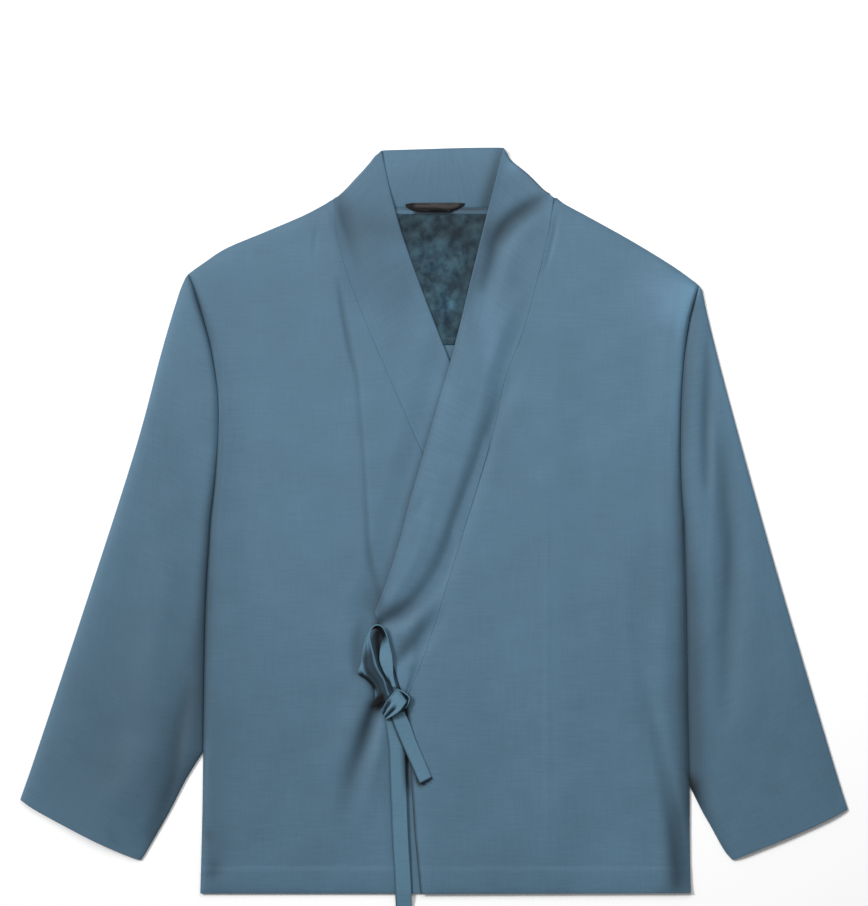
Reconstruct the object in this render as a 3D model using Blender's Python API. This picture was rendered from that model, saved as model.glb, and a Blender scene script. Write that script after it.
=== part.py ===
"""Kimono jacket laid flat, front up, in a wrapped closing with a tied half bow.

Every table is in millimetres. x runs across from the middle of the body, plus to the wearer's left.
y runs up from the hem line to the neck. z is the height above the surface the jacket lies on.
"""

from collections import namedtuple

import bmesh
import bpy
import numpy as np

MM = 0.001

# Cloth sizes
CLOTH = 1.2
COLLAR_CLOTH = 2.4
LINING_CLOTH = 1.0
TIE_CLOTH = 1.5
SEAM_GAP = 0.3
SEAM_ALLOWANCE = 1.5

# Heights of the layers
BACK_TOP = 1.2
LINING_BOTTOM = 1.5
FRONT_BOTTOM = 1.5
UNDER_FRONT_HIDDEN = 4.0
UNDER_FRONT_SHOWN = 5.4
UNDER_COLLAR_HIDDEN = 5.2
TOP_FRONT = 6.0
TOP_FRONT_OVER_UNDER = 7.4
SLEEVE_LOW = 2.9
SLEEVE_PUFF = 3.0
FOLD_INNER_RADIUS = 0.5

# Whole outline, used to set the middle of the part
LEFTMOST = -444
RIGHTMOST = 420
TIE_END = -38
COLLAR_TOP = 777

# How finely each piece is divided
ARMHOLE_ROWS = 10
SIDE_ROWS = 12
HEM_ROWS = 5
SEAM_ROWS = 21
FREE_EDGE_ROWS = 6
SLEEVE_END_ROWS = 5
FRONT_COLUMNS = 16
COLLAR_COLUMNS = 9

Spot = namedtuple("Spot", "x y")
Crease = namedtuple("Crease", "width depth spots")
Strip = namedtuple("Strip", "x1 y1 z1 x2 y2 z2")
Material = namedtuple("Material", "colour roughness sheen")

MATERIALS = {
    "cloth": Material((0.130, 0.205, 0.270), 0.62, 0.3),
    "collar_cloth": Material((0.140, 0.220, 0.290), 0.62, 0.3),
    "lining": Material((0.037, 0.078, 0.105), 0.45, 0.1),
    "tape": Material((0.061, 0.059, 0.063), 0.70, 0.1),
}


def spots(*pairs):
    """A short table of places, each with its x and y."""
    return [Spot(*pair) for pair in pairs]


# Wearer's right half, shown on the left
SHOULDER_RIGHT = spots((-116, 721), (-128, 718), (-150, 707), (-190, 690), (-229, 674), (-257, 657), (-269, 650))
ARMHOLE_RIGHT = spots((-269, 650), (-256, 620), (-244, 573), (-238, 526), (-238, 484), (-243, 430), (-248, 390))
SIDE_RIGHT = spots((-248, 390), (-252, 307), (-253, 228), (-253, 148))
SIDE_HEM_RIGHT = spots((-253, 148), (-254, 77), (-256, 1))
SLEEVE_FOLD_RIGHT = spots((-272, 645), (-279, 624), (-296, 567), (-324, 463), (-374, 307), (-426, 150), (-444, 98))
SLEEVE_END_RIGHT = spots((-253, 148), (-271, 119), (-288, 86), (-311, 46), (-318, 35))
CUFF_RIGHT = spots((-444, 98), (-426, 86), (-373, 58), (-333, 40), (-318, 35))
UNDER_SEAM = spots((-116, 721), (-115, 698), (-105, 656), (-85, 601), (-26, 465), (36, 333), (104, 213))
UNDER_EDGE = spots((-66, 772), (-51, 708), (-28, 640), (17, 524), (75, 380), (106, 296))
UNDER_END = spots((106, 296), (106, 260), (106, 222))
UNDER_FREE_EDGE = spots((104, 213), (105.5, 140), (105.5, 70), (105.5, 1))

# Wearer's left half, shown on the right
SHOULDER_LEFT = spots((113, 722), (126, 718), (148, 707), (193, 682), (234, 657), (258, 640), (264, 635))
ARMHOLE_LEFT = spots((264, 635), (253, 599), (246, 547), (244, 505), (244, 463), (245, 421), (246, 390))
SIDE_LEFT = spots((246, 390), (248, 307), (252, 202), (255, 112))
SIDE_HEM_LEFT = spots((255, 112), (255, 56), (256, 1))
SLEEVE_FOLD_LEFT = spots((268, 630), (276, 593), (296, 515), (339, 359), (385, 202), (410, 119), (420, 88))
SLEEVE_END_LEFT = spots((255, 112), (268, 86), (276, 72), (292, 46), (303, 35))
CUFF_LEFT = spots((420, 88), (396, 72), (365, 58), (332, 46), (303, 35))
TOP_SEAM = spots((113, 722), (106, 682), (83, 593), (62, 536), (48, 474), (5, 333), (-10, 284))
TOP_SEAM_END = spots((-10, 284), (-21, 252), (-32, 223), (-42, 203))
TOP_EDGE = spots((60, 775), (43, 708), (7, 573), (-27, 468), (-66, 317), (-77, 294))
TOP_EDGE_END = spots((-77, 294), (-68, 271), (-60, 249), (-52, 227), (-47, 214))
TOP_FREE_EDGE = spots((-42, 203), (-39, 166), (-37, 130), (-35, 99), (-32, 62), (-26, 0))

# Middle of the back
NECK_SEAM = spots((-116, 721), (-100, 719.5), (-52, 717), (-1, 716.5), (44, 717), (83, 719), (113, 722))
COLLAR_BACK_EDGE = spots((-66, 772), (-27, 775), (20, 777), (60, 775))
LINING_TOP = spots((-104, 709), (-52, 709), (0, 709), (52, 709), (104, 709))
LINING_SIDE_RIGHT = spots((-104, 709), (-98, 640), (-92, 574))
LINING_SIDE_LEFT = spots((104, 709), (98, 640), (92, 574))
LINING_HEM = spots((-92, 574), (0, 573), (92, 574))
HANGER = [
    Strip(-47, 718.6, 3.3, -46, 716.4, 3.3),
    Strip(-40, 720.2, 4.0, -39, 714.6, 3.6),
    Strip(-27, 721.2, 5.4, -29, 712.4, 4.6),
    Strip(0, 721.2, 5.8, 0, 711.8, 5.0),
    Strip(11, 720.4, 4.6, 9, 713.8, 4.1),
    Strip(20, 718.4, 3.3, 19, 716.2, 3.3),
]

# Largest folds: troughs have a plus depth, ridges a minus one
TOP_CREASES = [
    Crease(9, 3.4, spots((66, 556), (49, 515), (31, 463), (10, 411), (-6, 369), (-27, 333), (-53, 299), (-70, 290))),
    Crease(10, -1.2, spots((48, 560), (30, 512), (13, 463), (-8, 411), (-27, 369), (-48, 335))),
    Crease(24, -1.2, spots((80, 585), (62, 536), (48, 474), (26, 401), (5, 333))),
    Crease(8, 1.3, spots((-14, 304), (-32, 270), (-54, 246))),
    Crease(11, 1.2, spots((97, 730), (72, 708), (52, 682), (42, 651), (36, 622))),
    Crease(14, 2.2, spots((213, 181), (229, 119), (245, 46))),
]
UNDER_CREASES = [
    Crease(8, 1.6, spots((-113, 640), (-105, 600), (-93, 551), (-88, 504), (-82, 411), (-77, 340))),
    Crease(12, 1.2, spots((-110, 724), (-100, 693), (-89, 672))),
    Crease(11, 1.8, spots((-77, 197), (-100, 135), (-110, 77))),
    Crease(12, -1.0, spots((-52, 150), (-62, 100), (-68, 50))),
    Crease(14, -0.9, spots((-118, 180), (-134, 120), (-140, 60))),
]
SLEEVE_CREASES_RIGHT = [
    Crease(20, 1.6, spots((-272, 254), (-287, 150), (-303, 72))),
    Crease(14, 1.2, spots((-330, 75), (-342, 48))),
]
SLEEVE_CREASES_LEFT = [
    Crease(18, 1.7, spots((271, 567), (268, 463))),
    Crease(18, 1.7, spots((286, 453), (292, 359), (286, 254), (281, 202))),
]

# Half bow: lower edge of the strip, then its upper edge
LOOP = [
    Strip(-62.5, 209.0, 8.8, -58, 213.0, 10.8),
    Strip(-75, 217, 8.6, -65, 227, 14.0),
    Strip(-85, 223, 8.6, -71, 240, 16.5),
    Strip(-90, 232, 8.6, -75, 250, 17.5),
    Strip(-91, 244, 8.6, -78, 262, 18.0),
    Strip(-88, 258, 8.6, -79, 272, 18.5),
    Strip(-83, 268, 8.6, -77, 279, 19.0),
    Strip(-77, 273, 8.6, -72, 282, 19.0),
    Strip(-72, 270, 8.6, -67, 278, 18.5),
    Strip(-69, 264, 8.6, -62, 271, 18.0),
    Strip(-69, 256, 8.8, -58, 259, 17.0),
    Strip(-68, 244, 9.0, -56, 245, 15.5),
    Strip(-65, 232, 9.3, -55, 231, 14.0),
    Strip(-60, 219, 9.6, -52, 219, 12.5),
    Strip(-56.5, 212.0, 10.0, -47, 212.2, 11.5),
]
TAIL_SHORT = [
    Strip(-57.5, 188.4, 9.6, -43, 190.2, 9.6),
    Strip(-52, 176, 9.8, -37, 178, 9.4),
    Strip(-45, 159, 10.2, -31, 161, 9.4),
    Strip(-36, 137, 11.0, -22, 140, 9.6),
    Strip(-26, 114, 12.6, -14, 121, 10.6),
]
TAIL_LONG = [
    Strip(-63, 196, 7.0, -49.5, 195, 7.0),
    Strip(-63, 186, 7.0, -49.5, 185, 7.0),
    Strip(-61, 169, 6.8, -47, 169, 6.8),
    Strip(-59, 150, 6.8, -43.5, 150, 6.6),
    Strip(-58, 119, 6.8, -42.5, 119, 6.4),
    Strip(-56, 67, 6.6, -39.5, 67, 6.2),
    Strip(-53, 12, 5.6, -36.5, 12, 5.4),
    Strip(-52.5, 0, 4.9, -36, 0, 4.8),
    Strip(-52, -12, 2.6, -35, -12, 2.4),
    Strip(-51.5, -24, 1.0, -34.5, -24, 1.0),
    Strip(-51, -38, 0.8, -34, -38, 0.8),
]
KNOT_MIDDLE = (-52.5, 200.5, 12.3)
KNOT_HALF = (10.0, 10.0, 4.4)
KNOT_TURN = -0.5


def clear_scene():
    """Takes out whatever is in the scene."""
    for old in list(bpy.data.objects):
        bpy.data.objects.remove(old)


def ease(start, stop, value):
    """0 before start, 1 after stop and a soft rise between."""
    share = np.clip((value - start) / (stop - start), 0, 1)
    return share * share * (3 - 2 * share)


def at_least(value, floor):
    """The larger of the two with a soft change-over, never under the floor."""
    return 0.5 * (value + floor + np.sqrt((value - floor) ** 2 + 0.09))


def curve(places):
    """A dense smooth line through the places of a table."""
    points = np.array(places, float)
    padded = np.vstack([2 * points[0] - points[1], points, 2 * points[-1] - points[-2]])
    line = [points[0]]
    for before, start, stop, after in zip(padded, padded[1:], padded[2:], padded[3:]):
        for t in np.linspace(0, 1, 13)[1:]:
            bend = 2 * before - 5 * start + 4 * stop - after
            twist = 3 * start - before - 3 * stop + after
            line.append(0.5 * (2 * start + (stop - before) * t + bend * t ** 2 + twist * t ** 3))
    return np.array(line)


def lengths(line):
    """Distance along a line to each of its points."""
    steps = np.linalg.norm(np.diff(line, axis=0), axis=1)
    return np.concatenate([[0], np.cumsum(steps)])


def along(places, shares):
    """Points of a smooth line at the given shares of its length."""
    line = curve(places)
    travelled = lengths(line)
    wanted = np.asarray(shares) * travelled[-1]
    return np.stack([np.interp(wanted, travelled, line[:, axis]) for axis in range(line.shape[1])], axis=-1)


def evenly(count):
    """Shares from 0 to 1 in count equal steps."""
    return np.linspace(0, 1, count + 1)


def first_close(count, close):
    """Equal steps with one more point a short way in from the start."""
    return np.concatenate([[0, close], evenly(count)[1:]])


def last_close(count, close):
    """Equal steps with one more point a short way in from the end."""
    return np.concatenate([evenly(count)[:-1], [1 - close, 1]])


def joined(*paths):
    """Paths that follow each other, each corner kept once."""
    return np.vstack([paths[0]] + [path[1:] for path in paths[1:]])


def corner_moved(path, aside, up):
    """A path whose first point is also moved across and up."""
    path = path.copy()
    path[0] += (aside, up)
    return path


def moved_aside(path, distance):
    """A path moved to its left by a distance in plan."""
    steps = np.gradient(path[:, :2], axis=0)
    steps /= np.linalg.norm(steps, axis=1)[:, None]
    return path[:, :2] + distance * np.column_stack([-steps[:, 1], steps[:, 0]])


def distance_to(x, y, places):
    """Distance in plan from each point to a table's line."""
    line = np.array(places, float)[:, :2]
    nearest = np.full(np.shape(x), 1e9)
    for start, stop in zip(line, line[1:]):
        step = stop - start
        share = np.clip(((x - start[0]) * step[0] + (y - start[1]) * step[1]) / (step @ step), 0, 1)
        nearest = np.minimum(nearest, np.hypot(x - start[0] - share * step[0], y - start[1] - share * step[1]))
    return nearest


def x_at(places, y):
    """x of a line that runs down the jacket, at each height y."""
    line = curve(places)
    order = np.argsort(line[:, 1])
    return np.interp(y, line[order, 1], line[order, 0])


def folds(x, y, creases):
    """Height that a table of creases adds to a flat cloth."""
    total = np.zeros(np.shape(x))
    for crease in creases:
        gone = distance_to(x, y, crease.spots) / crease.width
        total -= crease.depth * np.exp(-gone * gone)
    return total


def shown_share(x, y):
    """0 under the top front and its collar, 1 where the under layers are well in view."""
    cover = TOP_EDGE + TOP_EDGE_END[1:] + TOP_FREE_EDGE[1:]
    return ease(12, 48, x_at(cover, y) - x)


def in_under_band(x, y):
    """1 above the hidden stretch of the under collar, 0 well beside it."""
    left = ease(-14, -2, x - x_at(UNDER_SEAM, y))
    right = ease(-14, -2, x_at(UNDER_EDGE + UNDER_END[1:], y) - x)
    return left * right * ease(196, 210, y) * (1 - ease(580, 600, y))


def edge_drop(x, y, places, reach):
    """1 on a line, falling softly to 0 within its reach."""
    return np.exp(-distance_to(x, y, places) / reach)


def under_front_top(x, y):
    """Upper face of the under front."""
    shown = shown_share(x, y)
    level = UNDER_FRONT_HIDDEN + (UNDER_FRONT_SHOWN - UNDER_FRONT_HIDDEN) * shown
    level = level + shown * folds(x, y, UNDER_CREASES)
    side = ARMHOLE_RIGHT + SIDE_RIGHT[1:] + SIDE_HEM_RIGHT[1:]
    level = level - 1.2 * edge_drop(x, y, side, 5) - (level - 3.2) * edge_drop(x, y, SHOULDER_RIGHT, 7)
    return level - (level - 3.1) * np.exp(-np.maximum(y, 0) / 9)


def top_front_top(x, y):
    """Upper face of the top front."""
    lifted = (1 - ease(112, 150, x)) * (1 - ease(590, 650, y))
    level = TOP_FRONT + (TOP_FRONT_OVER_UNDER - TOP_FRONT) * lifted + folds(x, y, TOP_CREASES)
    level = at_least(level, 4.2 + 1.2 * lifted + 1.3 * in_under_band(x, y))
    side = ARMHOLE_LEFT + SIDE_LEFT[1:] + SIDE_HEM_LEFT[1:]
    level = level - 1.4 * edge_drop(x, y, side, 5) - (level - 3.2) * edge_drop(x, y, SHOULDER_LEFT, 7)
    level = level - (level - 5.6) * edge_drop(x, y, TOP_FREE_EDGE, 8) * (1 - ease(203, 240, y))
    return level - (level - 4.9) * np.exp(-np.maximum(y, 0) / 9)


def front_thickness(x, y, side, shoulder):
    """Cloth, with the seam allowance folded in along the side and the shoulder."""
    return CLOTH + SEAM_ALLOWANCE * edge_drop(x, y, side, 1.6) + 0.5 * edge_drop(x, y, shoulder, 1.6)


def mesh_object(name, vertices, faces, material, parent):
    """One closed body in metres, facing out, with its own material."""
    mesh = bpy.data.meshes.new(name)
    mesh.from_pydata([tuple(float(value) * MM for value in vertex) for vertex in vertices], [], faces)
    shaped = bmesh.new()
    shaped.from_mesh(mesh)
    bmesh.ops.recalc_face_normals(shaped, faces=shaped.faces[:])
    if shaped.calc_volume(signed=True) < 0:
        bmesh.ops.reverse_faces(shaped, faces=shaped.faces[:])
    shaped.to_mesh(mesh)
    shaped.free()
    body = bpy.data.objects.new(name, mesh)
    bpy.context.scene.collection.objects.link(body)
    body.parent = parent
    body.data.materials.append(surface(name, MATERIALS[material]))
    return body


def surface(name, look):
    """A plain cloth material for one piece."""
    made = bpy.data.materials.new(name + "_cloth")
    made.use_nodes = True
    shader = made.node_tree.nodes["Principled BSDF"]
    shader.inputs["Base Color"].default_value = (*look.colour, 1.0)
    shader.inputs["Roughness"].default_value = look.roughness
    shader.inputs["Sheen Weight"].default_value = look.sheen
    return made


def wall(name, upper, lower, material, parent):
    """A sheet of cloth between two faces that have the same rows and columns."""
    rows, columns = upper.shape[:2]
    count = rows * columns
    faces = []
    for row in range(rows - 1):
        for column in range(columns - 1):
            corner = row * columns + column
            faces.append((corner, corner + 1, corner + columns + 1, corner + columns))
            faces.append(tuple(count + index for index in reversed(faces[-1])))
    border = [column for column in range(columns)]
    border += [row * columns + columns - 1 for row in range(1, rows)]
    border += [(rows - 1) * columns + column for column in range(columns - 2, -1, -1)]
    border += [row * columns for row in range(rows - 2, 0, -1)]
    for start, stop in zip(border, border[1:] + border[:1]):
        faces.append((start, count + start, count + stop, stop))
    vertices = np.vstack([upper.reshape(-1, 3), lower.reshape(-1, 3)])
    return mesh_object(name, vertices, faces, material, parent)


def patch(left, right, top, bottom, shares):
    """Rows of plan points between four edges, each row's points at its own shares of the way across."""
    down = evenly(len(left) - 1)[:, None, None]
    across = shares[..., None]
    between_sides = (1 - across) * left[:, None] + across * right[:, None]
    between_ends = (1 - down) * along(top, shares) + down * along(bottom, shares)
    start = (1 - across) * left[0] + across * right[0]
    stop = (1 - across) * left[-1] + across * right[-1]
    return between_sides + between_ends - (1 - down) * start - down * stop


def with_height(plan, height):
    """Plan points lifted to a height."""
    return np.concatenate([plan, np.broadcast_to(height, plan.shape[:-1])[..., None]], axis=-1)


def side_points(armhole, side, hem):
    """The body's side from the shoulder to the hem, row by row."""
    rows = [
        along(armhole, first_close(ARMHOLE_ROWS, 0.02)),
        along(side, evenly(SIDE_ROWS)),
        along(hem, last_close(HEM_ROWS, 0.04)),
    ]
    return joined(*rows)


def front_panel(name, seam, free_edge, sides, shoulder, top_height, parent):
    """One front, from its collar seam and free edge to the side."""
    toward = np.sign(shoulder[-1].x)
    inner = moved_aside(joined(seam, along(free_edge, last_close(FREE_EDGE_ROWS, 0.03))), toward * SEAM_GAP / 2)
    outer = moved_aside(side_points(*sides), -toward * SEAM_GAP / 2)
    close = [8 / 265, 3 / 265]
    shares = np.concatenate([evenly(FRONT_COLUMNS)[:-1], [1 - close[0], 1 - close[1], 1]])
    shares = np.tile(shares, (len(inner), 1))
    hem = [tuple(inner[-1]), tuple(outer[-1])]
    upper_edge = [tuple(inner[0])] + shoulder[1:-1] + [tuple(outer[0])]
    plan = patch(inner, outer, upper_edge, hem, shares)
    x, y = plan[..., 0], plan[..., 1]
    top = top_height(x, y)
    side = sides[0] + sides[1][1:] + sides[2][1:]
    lower = np.maximum(top - front_thickness(x, y, side, shoulder), FRONT_BOTTOM)
    return wall(name, with_height(plan, top), with_height(plan, lower), "cloth", parent)


def seam_rows(main, end=None):
    """The collar seam of one front, row by row from the neck."""
    if end is None:
        return along(main, first_close(SEAM_ROWS, 0.01))
    return joined(along(main, first_close(SEAM_ROWS - 4, 0.012)), along(end, evenly(4)))


def back_panel(parent):
    """The back, lying on the surface, cut to the neck seam and the shoulders."""
    rows = list(range(ARMHOLE_ROWS + 2))
    rows += list(range(ARMHOLE_ROWS + 3, ARMHOLE_ROWS + 2 + SIDE_ROWS, 2))
    rows += [ARMHOLE_ROWS + SIDE_ROWS + 4, ARMHOLE_ROWS + SIDE_ROWS + HEM_ROWS + 2]
    left = moved_aside(side_points(ARMHOLE_RIGHT, SIDE_RIGHT, SIDE_HEM_RIGHT), SEAM_GAP / 2)[rows]
    right = moved_aside(side_points(ARMHOLE_LEFT, SIDE_LEFT, SIDE_HEM_LEFT), -SEAM_GAP / 2)[rows]
    neck = moved_aside(along(NECK_SEAM, evenly(7)), -SEAM_GAP / 2)
    neck[0] += (-SEAM_GAP / 2, 0)
    neck[-1] += (SEAM_GAP / 2, 0)
    top = np.vstack([along(SHOULDER_RIGHT[::-1], evenly(4))[:-1], neck, along(SHOULDER_LEFT, evenly(4))[1:]])
    top[0] = left[0]
    top[-1] = right[0]
    columns = len(top)
    across = evenly(columns - 1)
    shares = (top[:, 0] - top[0, 0]) / (top[-1, 0] - top[0, 0])
    down = evenly(len(left) - 1)[:, None, None]
    mix = ((1 - down[..., 0]) * shares + down[..., 0] * across)[..., None]
    hem = left[-1] + across[:, None] * (right[-1] - left[-1])
    plan = (1 - mix) * left[:, None] + mix * right[:, None]
    rise = top - (left[0] + shares[:, None] * (right[0] - left[0]))
    fade = (1 - ease(0, 0.75, down))
    plan = plan + fade * rise
    plan[-1] = hem
    return wall("back", with_height(plan, BACK_TOP), with_height(plan, 0.0), "cloth", parent)


def yoke_lining(parent):
    """Satin lining of the upper back, seen through the neck."""
    left = along(LINING_SIDE_RIGHT, evenly(6))
    right = along(LINING_SIDE_LEFT, evenly(6))
    plan = patch(left, right, LINING_TOP, LINING_HEM, np.tile(evenly(10), (7, 1)))
    bottom = np.full(plan.shape[:2], LINING_BOTTOM)
    upper = with_height(plan, bottom + LINING_CLOTH)
    return wall("back_yoke_lining", upper, with_height(plan, bottom), "lining", parent)


def neck_tape(parent):
    """Narrow strip over the back neck seam, above the lining."""
    inset = NECK_SEAM[1:-1]
    top = moved_aside(along(inset, evenly(10)), -0.5)
    low = np.column_stack([top[:, 0], np.full(len(top), LINING_TOP[0].y + SEAM_GAP)])
    plan = np.stack([top, 0.5 * (top + low), low])
    upper = with_height(plan, LINING_BOTTOM + LINING_CLOTH - 0.1)
    return wall("neck_tape", upper, with_height(plan, LINING_BOTTOM), "cloth", parent)


def turned_over(edge, seam, outward, angles):
    """Stations of the collar through the half-round where it turns over at the neck side."""
    middle = COLLAR_CLOTH + FOLD_INNER_RADIUS
    outside, inside = [], []
    for angle in angles:
        for faces, radius in ((outside, middle), (inside, FOLD_INNER_RADIUS)):
            aside = outward * radius * np.cos(angle)
            line = edge + (seam - edge) * evenly(COLLAR_COLUMNS)[:, None] + aside
            faces.append(with_height(line, middle + radius * np.sin(angle)))
    return outside, inside


def collar_stretch(edge, seam, height):
    """Stations of the collar where it lies outside up, with the height of that face."""
    across = evenly(COLLAR_COLUMNS)
    plan = edge[:, None] + across[:, None] * (seam - edge)[:, None]
    top = height(plan[..., 0], plan[..., 1], across)
    return list(with_height(plan, top)), list(with_height(plan, top - COLLAR_CLOTH))


def after_turn(x, y, start, stop, level):
    """The collar's height as it comes down from the turned-over edge."""
    at_fold = 2 * (COLLAR_CLOTH + FOLD_INNER_RADIUS)
    return level + (at_fold - level) * np.exp(-distance_to(x, y, [start, stop]) / 14)


def under_collar_top(x, y, across):
    """Upper face of the under collar."""
    shown = shown_share(x, y)
    level = UNDER_COLLAR_HIDDEN + shown * (0.2 + 0.9 * across + folds(x, y, UNDER_CREASES))
    level = at_least(level, UNDER_COLLAR_HIDDEN)
    return after_turn(x, y, UNDER_EDGE[0], UNDER_SEAM[0], level)


def top_collar_top(x, y, across):
    """Upper face of the top collar."""
    crossing = 1 - ease(590, 640, y)
    low = 1 - ease(400, 460, y)
    edge_level = 5.3 + 3.0 * crossing - 1.0 * low
    seam_level = 6.6 + 2.8 * crossing - 0.6 * low
    level = edge_level + (seam_level - edge_level) * ease(0, 1, across) + folds(x, y, TOP_CREASES)
    level = at_least(level, 5.3 + 1.5 * crossing + 1.25 * in_under_band(x, y))
    return after_turn(x, y, TOP_EDGE[0], TOP_SEAM[0], level)


def outward_of(edge, seam, sign):
    """The plan direction square to a turned-over edge, away from the neck."""
    step = (seam - edge) / np.linalg.norm(seam - edge)
    return sign * np.array([-step[1], step[0]])


def collar_band(parent):
    """The whole collar: hidden end, under front, back neck, top front and slanted end."""
    half = SEAM_GAP / 2
    under_seam = corner_moved(moved_aside(seam_rows(UNDER_SEAM), half), 0, half)
    under_edge = joined(along(UNDER_EDGE, first_close(SEAM_ROWS - 4, 0.012)), along(UNDER_END, evenly(4)))
    top_seam = corner_moved(moved_aside(seam_rows(TOP_SEAM, TOP_SEAM_END), -half), 0, half)
    top_edge = joined(along(TOP_EDGE, first_close(SEAM_ROWS - 4, 0.012)), along(TOP_EDGE_END, evenly(4)))
    outside, inside = collar_stretch(under_edge[::-1], under_seam[::-1], under_collar_top)
    sweep = np.radians([60, 30, 0, -30, -60])
    turn = turned_over(under_edge[0], under_seam[0], outward_of(under_edge[0], under_seam[0], -1), sweep)
    outside += turn[0]
    inside += turn[1]
    back_edge = along(COLLAR_BACK_EDGE, evenly(7))
    back_seam = moved_aside(along(NECK_SEAM, evenly(7)), half)
    back_seam[0] = under_seam[0]
    back_seam[-1] = top_seam[0]
    across = evenly(COLLAR_COLUMNS)[:, None]
    for edge, seam in zip(back_edge, back_seam):
        line = edge + (seam - edge) * across
        outside.append(with_height(line, 0.0))
        inside.append(with_height(line, COLLAR_CLOTH))
    turn = turned_over(top_edge[0], top_seam[0], outward_of(top_edge[0], top_seam[0], 1), -sweep)
    outside += turn[0]
    inside += turn[1]
    stretch = collar_stretch(top_edge, top_seam, top_collar_top)
    outside += stretch[0]
    inside += stretch[1]
    return wall("collar", np.array(outside), np.array(inside), "collar_cloth", parent)


def sleeve_heights(plan, from_ditch, from_fold, creases):
    """Upper face of a sleeve that lies flat, low along the body and along its fold."""
    x, y = plan[..., 0], plan[..., 1]
    puff = (1 - np.exp(-from_ditch / 18)) * (1 - np.exp(-from_fold / 10))
    end = np.clip(evenly(len(plan) - 1)[:, None], 0, 1)
    puff = puff * (1 - 0.45 * ease(0.88, 1.0, end))
    return at_least(SLEEVE_LOW + SLEEVE_PUFF * puff + puff * folds(x, y, creases), SLEEVE_LOW - 0.1)


def sleeve(name, armhole, side, fold, end, cuff, creases, parent):
    """A flattened tube: open along the armhole down to the underarm, then closed by a fold to the cuff."""
    toward = np.sign(armhole[0][0])
    underarm = ARMHOLE_ROWS + 1
    ditch = joined(along(armhole, first_close(ARMHOLE_ROWS, 0.02)), along(side, evenly(SIDE_ROWS)),
                   along(end, evenly(SLEEVE_END_ROWS)))
    ditch = moved_aside(ditch, toward * SEAM_GAP / 2)
    rows = len(ditch)
    outer = along(fold, np.concatenate([[0, 0.004], evenly(rows - 2)[1:]]))
    width = np.linalg.norm(outer - ditch, axis=1)
    near = np.minimum(0.9 / width, 0.08)
    close = np.minimum(4.0 / width, 0.22)
    inside_shares = [close + (1 - 2 * close) * share for share in evenly(9)[1:-1]]
    start = np.where(np.arange(rows) <= underarm, 0.0, near)
    front = np.column_stack([start, close] + inside_shares + [1 - close, 1 - near])
    back_inside = [close + (1 - 2 * close) * share for share in evenly(3)[1:-1]]
    under = np.column_stack([1 - near, 1 - close] + back_inside[::-1] + [close, start])
    top_line = [tuple(ditch[0]), tuple(outer[0])]
    cuff_line = cuff[::-1]
    front_plan = patch(ditch, outer, top_line, cuff_line, front)
    under_plan = patch(ditch, outer, top_line, cuff_line, under)
    front_top = sleeve_heights(front_plan, front * width[:, None], (1 - front) * width[:, None], creases)
    return sleeve_mesh(name, front_plan, front_top, under_plan, outer, ditch, underarm, parent)


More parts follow.
